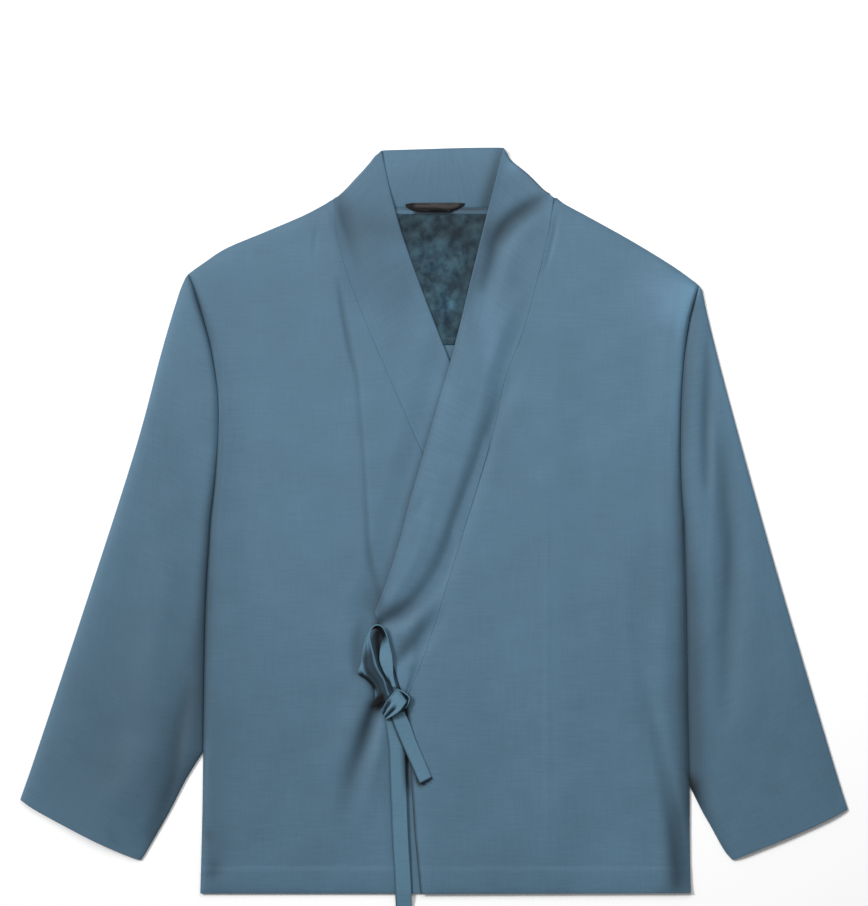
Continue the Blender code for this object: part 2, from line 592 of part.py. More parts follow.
def sleeve_mesh(name, front_plan, front_top, under_plan, outer, ditch, underarm, parent):
    """Outer and inner face of the sleeve's cloth, joined at the armhole, the cuff and the underarm."""
    rows = len(ditch)
    middle = (SLEEVE_LOW + 0.2) / 2
    to_ditch = (ditch - outer) / np.linalg.norm(ditch - outer, axis=1)[:, None]
    deep = np.minimum(CLOTH, 0.10 * np.linalg.norm(ditch - outer, axis=1))[:, None]
    faces_out, faces_in = [], []
    out_front = with_height(front_plan, front_top)
    in_front = with_height(front_plan, front_top - CLOTH)
    out_under = with_height(under_plan, 0.0)
    in_under = with_height(under_plan, CLOTH)
    # The last front column and the first under column make the rounded outer fold.
    out_front[:, -1, 2] = SLEEVE_LOW - 0.15
    in_front[:, -1, :2] += to_ditch * deep * 0.8
    in_front[:, -1, 2] = CLOTH + 0.45
    out_under[:, 0, 2] = 0.25
    in_under[:, 0, :2] += to_ditch * deep * 0.8
    in_under[:, 0, 2] = CLOTH + 0.03
    fold_out = with_height(outer, middle)[:, None]
    fold_in = with_height(outer + to_ditch * deep, CLOTH + 0.22)[:, None]
    # Below the underarm the first front column and the last under column make the inner fold.
    closed = slice(underarm, rows)
    out_front[closed, 0, 2] = SLEEVE_LOW - 0.15
    in_front[closed, 0, :2] -= to_ditch[closed] * deep[closed] * 0.8
    in_front[closed, 0, 2] = CLOTH + 0.45
    out_under[closed, -1, 2] = 0.25
    in_under[closed, -1, :2] -= to_ditch[closed] * deep[closed] * 0.8
    in_under[closed, -1, 2] = CLOTH + 0.03
    inner_out = with_height(ditch, middle)[closed]
    inner_in = with_height(ditch - to_ditch * deep, CLOTH + 0.22)[closed]
    out_grid = np.concatenate([out_front, fold_out, out_under], axis=1)
    in_grid = np.concatenate([in_front, fold_in, in_under], axis=1)
    columns = out_grid.shape[1]
    count = rows * columns
    extra = 2 * count
    vertices = np.vstack([out_grid.reshape(-1, 3), in_grid.reshape(-1, 3), inner_out, inner_in])
    spare = len(inner_out)

    def outside(row, column):
        return row * columns + column if column < columns else extra + row - underarm

    def inside(row, column):
        return count + row * columns + column if column < columns else extra + spare + row - underarm

    for row in range(rows - 1):
        across = list(range(columns))
        if row >= underarm:
            across += [columns, 0]
        for column, following in zip(across, across[1:]):
            corners = ((row, column), (row, following), (row + 1, following), (row + 1, column))
            faces_out.append(tuple(outside(*corner) for corner in corners))
            faces_in.append(tuple(inside(*corner) for corner in reversed(corners)))
    rims = [(0, column, 0, column + 1) for column in range(columns - 1)]
    rims += [(rows - 1, column, rows - 1, column + 1) for column in range(columns)]
    rims += [(rows - 1, columns, rows - 1, 0), (underarm, columns - 1, underarm, columns)]
    rims += [(underarm, columns, underarm, 0)]
    for row in range(underarm):
        rims += [(row, 0, row + 1, 0), (row, columns - 1, row + 1, columns - 1)]
    faces_rim = []
    for row, column, next_row, following in rims:
        faces_rim.append((outside(row, column), outside(next_row, following),
                          inside(next_row, following), inside(row, column)))
    return mesh_object(name, vertices, faces_out + faces_in + faces_rim, "cloth", parent)


def ribbon(name, stations, steps, across_count, thickness, material, parent):
    """A narrow strip given by its two long edges."""
    table = np.array(stations, float)
    shares = evenly(steps)
    first = along(table[:, :3], shares)
    second = along(table[:, 3:], shares)
    across = evenly(across_count)[:, None]
    middle = np.array([start + (stop - start) * across for start, stop in zip(first, second)])
    forward = np.gradient(middle, axis=0)
    sideways = (second - first)[:, None]
    normal = np.cross(forward, np.broadcast_to(sideways, forward.shape))
    normal /= np.linalg.norm(normal, axis=2)[..., None]
    half = 0.5 * thickness * normal
    return wall(name, middle + half, middle - half, material, parent)


def hanger(parent):
    """Short tape loop caught in the back neck seam."""
    return ribbon("hanger_loop", HANGER, 12, 2, LINING_CLOTH, "tape", parent)


def knot(parent):
    """The wrapped knot of the bow as a cushion with flattened faces."""
    rows, columns = 9, 16
    vertices, faces = [], []
    for row in range(rows + 1):
        lift = np.pi * (row / rows - 0.5)
        for column in range(columns):
            turn = 2 * np.pi * column / columns
            flat = np.array([np.cos(turn), np.sin(turn)])
            flat = np.sign(flat) * np.abs(flat) ** 0.6
            ring = np.cos(lift) ** 0.55
            x = KNOT_HALF[0] * ring * flat[0]
            y = KNOT_HALF[1] * ring * flat[1]
            z = KNOT_HALF[2] * np.sign(np.sin(lift)) * np.abs(np.sin(lift)) ** 0.8
            turned_x = x * np.cos(KNOT_TURN) - y * np.sin(KNOT_TURN)
            turned_y = x * np.sin(KNOT_TURN) + y * np.cos(KNOT_TURN)
            vertices.append(np.array(KNOT_MIDDLE) + (turned_x, turned_y, z))
    bottom_ring, top_ring = list(range(columns)), list(range(rows * columns, (rows + 1) * columns))
    kept = vertices[columns:-columns]
    low, high = len(kept), len(kept) + 1
    kept += [np.mean([vertices[index] for index in bottom_ring], axis=0)]
    kept += [np.mean([vertices[index] for index in top_ring], axis=0)]
    for row in range(rows - 2):
        for column in range(columns):
            start = row * columns + column
            stop = row * columns + (column + 1) % columns
            faces.append((start, stop, stop + columns, start + columns))
    last = (rows - 2) * columns
    for column in range(columns):
        following = (column + 1) % columns
        faces.append((low, following, column))
        faces.append((high, last + column, last + following))
    return mesh_object("tie_knot", kept, faces, "cloth", parent)


def build():
    """Every piece of the jacket, with the middle of its outline at the origin."""
    clear_scene()
    garment = bpy.data.objects.new("garment", None)
    bpy.context.scene.collection.objects.link(garment)
    garment.location = (-(LEFTMOST + RIGHTMOST) / 2 * MM, -(TIE_END + COLLAR_TOP) / 2 * MM, 0.0)
    sides_right = (ARMHOLE_RIGHT, SIDE_RIGHT, SIDE_HEM_RIGHT)
    sides_left = (ARMHOLE_LEFT, SIDE_LEFT, SIDE_HEM_LEFT)
    back_panel(garment)
    yoke_lining(garment)
    neck_tape(garment)
    hanger(garment)
    front_panel("front_right", seam_rows(UNDER_SEAM), UNDER_FREE_EDGE, sides_right, SHOULDER_RIGHT,
                under_front_top, garment)
    front_panel("front_left", seam_rows(TOP_SEAM, TOP_SEAM_END), TOP_FREE_EDGE, sides_left, SHOULDER_LEFT,
                top_front_top, garment)
    collar_band(garment)
    sleeve("sleeve_right", ARMHOLE_RIGHT, SIDE_RIGHT, SLEEVE_FOLD_RIGHT, SLEEVE_END_RIGHT, CUFF_RIGHT,
           SLEEVE_CREASES_RIGHT, garment)
    sleeve("sleeve_left", ARMHOLE_LEFT, SIDE_LEFT, SLEEVE_FOLD_LEFT, SLEEVE_END_LEFT, CUFF_LEFT,
           SLEEVE_CREASES_LEFT, garment)
    ribbon("tie_loop", LOOP, 30, 3, TIE_CLOTH, "cloth", garment)
    ribbon("tie_tail_short", TAIL_SHORT, 8, 3, TIE_CLOTH, "cloth", garment)
    ribbon("tie_tail_long", TAIL_LONG, 16, 2, TIE_CLOTH, "cloth", garment)
    knot(garment)


build()
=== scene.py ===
"""Looks of a kimono jacket laid flat, front up, in a wrapped closing with a tied half bow.

Every table is in millimetres. x runs across from the middle of the body, plus to the wearer's left.
y runs up from the hem line to the neck. z is the height above the surface the jacket lies on.
"""

import bmesh
import bpy
import numpy as np
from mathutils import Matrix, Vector


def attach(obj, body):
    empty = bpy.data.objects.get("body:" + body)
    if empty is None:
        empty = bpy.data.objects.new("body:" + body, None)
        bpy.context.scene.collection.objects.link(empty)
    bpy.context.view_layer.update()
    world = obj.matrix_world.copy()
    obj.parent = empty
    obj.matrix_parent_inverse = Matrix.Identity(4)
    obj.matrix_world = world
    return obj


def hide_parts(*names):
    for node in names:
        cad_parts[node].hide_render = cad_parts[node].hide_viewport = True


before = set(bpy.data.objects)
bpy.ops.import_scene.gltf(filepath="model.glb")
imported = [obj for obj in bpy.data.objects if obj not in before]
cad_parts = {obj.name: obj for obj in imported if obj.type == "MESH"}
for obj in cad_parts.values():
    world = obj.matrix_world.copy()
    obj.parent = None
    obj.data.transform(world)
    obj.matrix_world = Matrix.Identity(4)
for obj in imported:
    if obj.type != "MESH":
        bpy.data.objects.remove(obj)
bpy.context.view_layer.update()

MM = 0.001
GARMENT_PLACE = np.array([12.0, -369.5, 0.0])

# Cloth thicknesses and the gaps at seams
CLOTH = 1.0
COLLAR_CLOTH = 2.0
LINING_CLOTH = 0.8
TIE_CLOTH = 1.3
SEAM_GAP = 0.3
SLEEVE_GAP = 0.12
SEAM_LINE = 0.04

# Heights of the layers
BACK_TOP = 1.2
LINING_BOTTOM = 1.5
FRONT_BOTTOM = 1.5
UNDER_FRONT_HIDDEN = 3.2
UNDER_FRONT_SHOWN = 5.4
UNDER_COLLAR_HIDDEN = 4.2
TOP_FRONT = 6.0
TOP_FRONT_OVER_UNDER = 7.4
SLEEVE_LOW = 2.6
SLEEVE_PUFF = 3.9
BACK_COLLAR_LOW = 1.2
BACK_COLLAR_RISE = 3.4
TURN_MIDDLE = 2.9

# Heights by the edges, the hem's own rise, and how far edges, allowances and folds reach
BODY_SIDE_TOP = 2.3
SHOULDER_TOP = 3.2
UNDER_HEM_TOP = 3.1
TOP_HEM_TOP = 4.9
FREE_EDGE_TOP = 5.6
HEM_RISE = 0.42
EDGE_REACH = 7
ALLOWANCE_REACH = 1.8
FOLD_RADIUS = 3.2
SEAM_SHARPNESS = 0.7

# How finely the pieces are divided, and how many waves make a cloth's slow unevenness
FINE = 10
ARMHOLE_ROWS = 10 * FINE
SIDE_ROWS = 12 * FINE
HEM_ROWS = 5 * FINE
SEAM_ROWS = 21 * FINE
END_ROWS = 4 * FINE
FREE_EDGE_ROWS = 6 * FINE
SLEEVE_END_ROWS = 5 * FINE
LINING_ROWS = 60
TAPE_ROWS = 90
NECK_STATIONS = 50
FRONT_COLUMNS = 116
BACK_COLUMNS = 60
LINING_COLUMNS = 80
COLLAR_COLUMNS = 28
SLEEVE_COLUMNS = 44
DRIFT_WAVES = 9
KNOT_ROWS = 24
KNOT_COLUMNS = 40
STITCH_ROWS = 7
STITCH_SIDES = 6

# Widths of the collar and the turned-up hem, and lengths of the outlines along which rows run
COLLAR_WIDTH = 73
HEM = 27
BACK_NECK_LENGTH = 170
ARMHOLE_LENGTH = 265
UNDER_SEAM_LENGTH = 557
TOP_SEAM_LENGTH = 455
SLEEVE_LENGTH = 575
SLEEVE_END_LENGTH = 131
LINING_LENGTH = 135
TAPE_LENGTH = 184

# Stitches of the lining's hem: their step, length, thread and place
STITCH_STEP = 3.2
STITCH_LENGTH = 1.9
STITCH_THREAD = 0.22
STITCHES_Y = 579.4

# Limits of the tones, how far around a hollow is felt in rows and columns, how dark the painted shade in it
# gets, and the painted shade of the knot's core
TONE_LIMITS = (0.03, 1.4)
HOLLOW_REACH = (5, 3)
HOLLOW_DEPTH = 2.5
HOLLOW_SHADE = 0.3
KNOT_CORE_SHADE = 0.15

# Studio, in metres and watts
CAMERA_HEIGHT = 4.0
VIEW_HEIGHT = 0.945
VIEW_MIDDLE = 0.0905
WORLD_LIGHT = 0.32
LIGHT_AIM = (0.0, 0.1, 0.0)
KEY_PLACE = (-6.3, 3.7, 7.0)
KEY_SIZE = 2.4
KEY_POWER = 800.0
TOP_PLACE = (0.05, 0.6, 1.0)
TOP_SIZE = 0.8
TOP_POWER = 6.4
FLOOR_RADIUS = 6
FLOOR_SIDES = 64
FLOOR_TOP = -0.0004


def fold(*rows):
    """One crease from the neck to the hem, each row its x, y, depth and reaches towards +x and -x.

    A row with one reach has it on both sides, and a row without keeps the reaches of the row before.
    """
    whole = []
    for row in rows:
        whole.append((row + (row[3:] or whole[-1][3:]))[:5])
    return whole


# Outlines, each row x and y. Wearer's right half, shown on the left
SHOULDER_RIGHT = [(-116, 725.5), (-121, 722.7), (-128, 718.4), (-150, 707), (-190, 690), (-229, 673.5),
                  (-252, 658.5), (-262, 651.5), (-268, 647)]
ARMHOLE_RIGHT = [(-268, 647), (-259, 621), (-245.5, 573), (-238, 526), (-237, 484), (-240.5, 430),
                 (-245, 390)]
SIDE_RIGHT = [(-245, 390), (-250, 307), (-252, 228), (-253, 148)]
SIDE_HEM_RIGHT = [(-253, 148), (-254, 77), (-256, 0.3)]
BODY_RIGHT = (ARMHOLE_RIGHT, SIDE_RIGHT, SIDE_HEM_RIGHT)
SLEEVE_FOLD_RIGHT = [(-271.5, 643), (-279, 624), (-296, 567), (-324, 463), (-374, 307), (-426, 150),
                     (-444, 98)]
SLEEVE_END_RIGHT = [(-253, 148), (-271, 119), (-288, 86), (-311, 46), (-318, 35)]
CUFF_RIGHT = [(-444, 98), (-426, 86), (-373, 58), (-333, 40), (-318, 35)]
UNDER_SEAM = [(-116, 725.5), (-115, 698), (-105, 656), (-85, 601), (-26, 465), (36, 333), (104, 213)]
UNDER_EDGE = [(-67, 775.2), (-51, 708), (-28, 640), (17, 524), (75, 380), (106, 296)]
UNDER_END = [(106, 296), (106, 260), (106, 222)]
UNDER_FREE_EDGE = [(104, 213), (105.5, 140), (105.5, 70), (105.5, 0.3)]

# Wearer's left half, shown on the right
SHOULDER_LEFT = [(113, 726.6), (118, 723.9), (126, 718.8), (148, 707), (193, 682), (234, 657), (258, 640),
                 (264, 635)]
ARMHOLE_LEFT = [(264, 635), (255, 602), (249, 560), (246, 515), (245, 463), (246.5, 421), (249, 390)]
SIDE_LEFT = [(249, 390), (251.5, 307), (253, 202), (255, 112)]
SIDE_HEM_LEFT = [(255, 112), (255, 56), (256, 1)]
BODY_LEFT = (ARMHOLE_LEFT, SIDE_LEFT, SIDE_HEM_LEFT)
SLEEVE_FOLD_LEFT = [(268, 630), (276, 593), (296, 515), (339, 359), (385, 202), (410, 119), (420, 88)]
SLEEVE_END_LEFT = [(255, 112), (268, 86), (276, 72), (290.5, 46), (299.5, 35)]
CUFF_LEFT = [(420, 88), (396, 75.5), (365, 61.5), (332, 48), (299.5, 35)]
TOP_SEAM = [(113, 726.6), (106, 682), (83, 593), (62, 536), (48, 474), (5, 333), (-10, 284)]
TOP_SEAM_END = [(-10, 284), (-21, 252), (-32, 223), (-42, 203)]
TOP_EDGE = [(61, 778.2), (43, 708), (10, 575), (-5, 522), (-21, 467), (-38, 408), (-48, 369), (-62, 325),
            (-74, 294)]
TOP_EDGE_END = [(-74, 294), (-66, 271), (-58, 249), (-51, 227), (-47, 214)]
TOP_FREE_EDGE = [(-42, 203), (-38.5, 160), (-36.8, 135), (-35.2, 112), (-34.4, 98), (-32, 62), (-26, 0)]

# How far the folded neck edges are drawn in, from the corner to the shoulder, by share of the way
RIGHT_NECK_HOLLOW = [(0, 0), (0.1, 0.2), (0.155, 0.8), (0.24, 1.8), (0.33, 2.2), (0.42, 2.6), (0.58, 2.8),
                     (0.67, 3.1), (0.75, 3.2), (0.84, 3), (0.92, 1.9), (1, 0)]
LEFT_NECK_HOLLOW = [(0, 0), (0.04, 1.4), (0.08, 3), (0.14, 4.9), (0.2, 5.4), (0.3, 4.8), (0.4, 3.8),
                    (0.5, 3.2), (0.64, 3.1), (0.8, 3.4), (0.88, 2.6), (0.96, 0.5), (1, 0)]

# Middle of the back
NECK_SEAM = [(-116, 725.5), (-100, 719.8), (-52, 717), (-1, 716.5), (44, 717), (83, 719.6), (113, 726.6)]
COLLAR_BACK_EDGE = [(-67, 775.2), (-27, 776.4), (20, 777.8), (61, 778.2)]
LINING_TOP = [(-104, 709), (-52, 709), (0, 709), (52, 709), (104, 709)]
LINING_SIDE_RIGHT = [(-104, 709), (-98, 640), (-92, 574)]
LINING_SIDE_LEFT = [(104, 709), (98, 640), (92, 574)]
LINING_HEM = [(-92, 574), (0, 573), (92, 574)]
HANGER = [
    (-42, 719.6, 3.3, -41.2, 716.8, 3.3), (-36, 720.6, 4.2, -36, 713.6, 3.8),
    (-27, 721, 5.2, -28, 711.9, 4.4), (0, 721, 5.6, 0, 711.6, 4.8), (8, 721.2, 4.8, 8, 712.6, 4.1),
    (20.3, 720.6, 3.4, 19.5, 718, 3.3),
]

# Creases: troughs have a plus depth, ridges a minus one
TOP_FOLDS = [
    # Long trough down the collar
    fold((73, 548, 0.3, 9, 6), (65, 528, 1, 9, 8), (56, 510, 1.7), (46, 481, 2.4), (37.5, 455, 2.5, 10, 8),
         (26, 427, 2.7, 11, 8), (15.5, 400, 3, 12, 8), (4.5, 370, 3.5, 13, 8), (-7, 343, 4, 15, 8),
         (-18, 322, 4.2), (-31, 305, 4.4, 14, 8), (-45, 293, 4.4, 12, 8), (-58, 286, 4, 9, 7),
         (-68, 282, 3.2, 6, 5), (-76, 279, 1.8, 5, 4)),
    # Second trough above the knot
    fold((-3, 304, 0.3, 9, 7), (-9, 289, 1.4, 11, 8), (-19, 276, 2.5, 12, 9), (-28, 263, 3.2),
         (-38, 253, 3, 10, 8), (-46, 245, 1.6, 8, 7), (-52, 237, 0.2, 5, 6)),
    # Ridge between the troughs
    fold((4, 331, -0.2, 8), (-9, 307, -0.4, 7), (-26, 287, -0.6), (-44, 273, -0.6), (-56, 264, -0.4, 6)),
    # Ridge along the free edge
    fold((-2, 442, -0.2, 6), (-14, 401, -0.4, 7), (-26, 364, -0.6), (-39, 336, -0.8, 6), (-50, 317, -0.7, 5),
         (-57, 305, -0.3, 4)),
    # Neck trough
    fold((102, 725, 1.6, 12, 7), (93.5, 718, 3, 12, 8), (82.5, 710, 3.8), (69.5, 700, 3.8), (60, 687.5, 3.4),
         (53.5, 675.5, 3), (50, 662, 2.6, 11, 7), (47, 648, 2.2, 10, 7), (42, 634, 1.4, 9, 6),
         (39, 622, 0.3, 8, 5)),
    # Ridge beside the neck trough
    fold((93, 705, -0.4, 9, 7), (76, 682, -0.7, 9, 8), (65, 653, -0.7), (57, 620, -0.4)),
    # Crease beside the seam at the neck
    fold((117, 708, 0.4, 2.5), (112, 682, 0.9), (106, 659, 0.6), (102, 645, 0.1)),
    # Dent by the free edge
    fold((-20, 421, 0.1, 5), (-27, 405, 0.7, 5, 6), (-33, 390, 0.1, 5)),
    # Soft hollow in the collar
    fold((36, 531, 0.1, 9), (21, 500, 0.5), (10, 468, 0.1)),
    # Side trough at the hem
    fold((206, 226, 0.2, 8, 7), (214, 191, 1, 8), (222, 160, 1.8), (230, 128, 2.4, 8, 9), (235, 98, 2.8),
         (241, 72, 3), (245, 46, 3), (247, 17, 2.4)),
    # Long soft ridge
    fold((186, 369, -0.1, 8), (189, 307, -0.5), (191, 244, -0.5), (196, 181, -0.4), (205, 108, -0.3),
         (219, 46, -0.1)),
    # Dent under the shoulder
    fold((180, 659, 0.1, 9), (203, 634, 0.3, 11), (219, 613, 0.3, 10), (231, 590, 0.1, 9)),
    # Edge of the under front below
    fold((104, 411, -0.1, 3), (106, 307, -0.3), (106, 202, -0.35), (106, 98, -0.3), (106, 35, -0.1)),
]
UNDER_FOLDS = [
    # Long narrow crease
    fold((-113, 640, 0.3, 4, 3), (-108, 614, 1.3), (-103, 588, 1.6), (-98, 562, 1.4), (-92, 538, 0.9, 3),
         (-89, 502, 0.7, 2.5, 3), (-85, 453, 0.7), (-82, 397, 0.9), (-80, 364, 1.1, 3), (-77, 343, 1.1),
         (-71, 317, 0.9), (-67, 300, 0.3)),
    # Hollow under the turned collar
    fold((-110, 724, 1.6, 12, 6), (-105, 708, 2.4, 13, 6), (-100, 692, 2.2), (-94, 674, 1.4),
         (-87, 655, 0.6, 12, 6), (-80, 637, 0.1, 10, 5)),
    # Ridge along the neck end of the seam
    fold((-127, 718, -0.8, 4, 6), (-120, 698, -1.3), (-114, 672, -1.1), (-107, 640, -0.4, 4, 5),
         (-98, 612, -0.1)),
    # Short crease by the shoulder
    fold((-134, 701, 0.2, 2.5), (-136, 682, 0.7), (-138, 662, 0.1)),
    # Trough below the knot
    fold((-64, 210, 3.6, 8, 6), (-71, 195, 4.2, 8, 7), (-78, 174, 4, 9, 7), (-86, 150, 3.2, 10, 8),
         (-94, 127, 2.2, 12, 9), (-100, 101, 1.2, 13, 10), (-106, 70, 0.2)),
    # Ridge left of that trough
    fold((-84, 214, -1.8, 8, 14), (-92, 187, -2.4, 9, 16), (-102, 158, -1.9, 10, 17), (-112, 124, -1, 11, 18),
         (-121, 90, -0.2)),
    # Ridge right of that trough
    fold((-63, 179, -1, 5), (-69, 148, -1, 6), (-78, 114, -0.6, 7), (-85, 77, -0.2)),
    # Swell beside the bow
    fold((-93, 294, -0.3, 5, 12), (-100, 265, -0.9, 6, 14), (-100, 236, -1.1, 7, 14),
         (-95, 213, -0.6, 6, 12)),
    # Upper side dent
    fold((-255, 92, 0.2, 5), (-251, 77, 1.2), (-248, 64, 1.6, 6), (-242, 50, 0.5, 5)),
    # Lower side dent
    fold((-248, 35, 0.3, 6), (-240, 24, 1.3, 7), (-229, 16, 0.3)),
    # Long soft hollow
    fold((-199, 536, 0.1, 14), (-202, 442, 0.4, 16), (-204, 348, 0.4), (-208, 254, 0.3),
         (-211, 181, 0.1, 14)),
]
SLEEVE_FOLDS_RIGHT = [
    # Long trough by the body
    fold((-262, 265, 0.2, 9, 14), (-266, 223, 1.2, 9, 15), (-273, 181, 2.4, 8, 16), (-279, 145, 3),
         (-285, 108, 3, 7, 14), (-291, 79, 2.6, 6, 12), (-299, 54, 1.8, 6, 10)),
    # Ridge inside that trough
    fold((-260, 265, -0.1, 5), (-262, 213, -0.4), (-271, 166, -0.5), (-279, 124, -0.3, 4)),
    # Cuff dent
    fold((-352, 65, 0.3, 6, 5), (-344, 53, 1.3), (-335, 43, 0.8)),
    # Soft hollow along the arm
    fold((-293, 515, 0.1, 14), (-308, 432, 0.4, 16), (-329, 338, 0.4), (-348, 254, 0.1, 14)),
    # Soft ridge along the arm
    fold((-272, 442, -0.1, 12), (-285, 348, -0.4, 14), (-303, 265, -0.5), (-324, 181, -0.3),
         (-342, 108, -0.1, 12)),
    # Fold under the shoulder point
    fold((-266, 637, 0.9, 3), (-259, 623, 1.1), (-252, 601, 0.7), (-247, 573, 0.2)),
]
SLEEVE_FOLDS_LEFT = [
    # First valley
    fold((277, 593, 0.3, 7, 6), (275, 562, 1.4, 8, 7), (274, 515, 2.4), (273, 474, 2.4), (273, 437, 1.4),
         (274, 416, 0.2, 7, 6)),
    # Second valley
    fold((289, 500, 0.3, 11, 8), (293, 453, 1.8, 12, 9), (296, 411, 3, 14, 9), (299, 369, 3.5, 15, 9),
         (299, 333, 3.4), (297, 291, 2.8, 16, 10), (295, 249, 2, 13, 10), (293, 202, 1.1, 12, 10),
         (291, 161, 0.2)),
    # Ridge between the valleys
    fold((278, 515, -0.3, 4), (280, 463, -0.6), (280, 411, -0.6, 5), (278, 348, -0.5, 6), (276, 275, -0.3)),
    # Soft hollow by the fold
    fold((316, 390, 0.1, 9), (330, 328, 0.5, 10), (341, 265, 0.4), (349, 202, 0.1, 9)),
    # Cuff dent
    fold((294, 75, 0.2, 5, 6), (298, 58, 0.8), (305, 46, 0.5)),
    # Soft ridge towards the cuff
    fold((307, 286, -0.1, 12), (320, 213, -0.5, 14), (334, 140, -0.4), (347, 88, -0.1, 12)),
]

# Broad painted light and shade over the cloth, a plus change painting light and a minus one shade: x, y,
# change, reach across and reach along
BROAD_LIGHT_AND_SHADE = [
    (-86, 672, -0.2, 34, 52), (-100, 706, -0.16, 46, 26), (-52, 630, -0.12, 22, 46),
    (-180, 610, -0.06, 80, 60), (-330, 170, -0.26, 110, 150), (-300, 420, -0.12, 70, 130),
    (-150, 150, -0.08, 110, 120), (345, 160, -0.12, 100, 150), (305, 430, -0.08, 30, 120),
    (0, 750, -0.14, 90, 34), (50, 670, -0.14, 50, 60), (225, 628, 0.16, 40, 34), (243, 614, 0.2, 14, 20),
    (250, 636, 0.26, 12, 13), (216, 330, -0.06, 12, 90), (-46, 228, 0.12, 8, 11), (205, 665, 0.07, 24, 9),
    (259, 630, 0.3, 7, 9), (69, 759, 0.28, 8, 9), (57, 500, -0.08, 8, 36), (-40, 640, -0.1, 14, 30),
    (-10, 527, 0.09, 13, 20), (-72, 50, 0.06, 16, 34), (-140, 38, -0.05, 30, 14), (190, 34, 0.1, 40, 26),
    (-77, 306, -0.2, 9, 14), (-248, 62, -0.16, 7, 9), (-245, 23, -0.16, 9, 7), (-240, 40, -0.18, 14, 40),
    (58, 32, -0.11, 44, 24), (228, 560, 0.08, 16, 60), (-222, 400, -0.06, 15, 160), (24, 150, -0.07, 24, 70),
    (185, 285, -0.05, 34, 110), (170, 480, 0.05, 60, 60), (52, 462, -0.06, 14, 50), (46, 585, 0.14, 9, 46),
    (23, 608, -0.12, 8, 28), (-356, 116, -0.08, 40, 34),
    # Painted highlights on the satin lining, and painted shade along its top
    (1, 614, 1.1, 9, 7), (-8, 655, 0.25, 12, 12), (0, 694, -0.35, 60, 12),
    # Shadow under the hanger
    (-12, 710, -0.5, 24, 2.2),
]
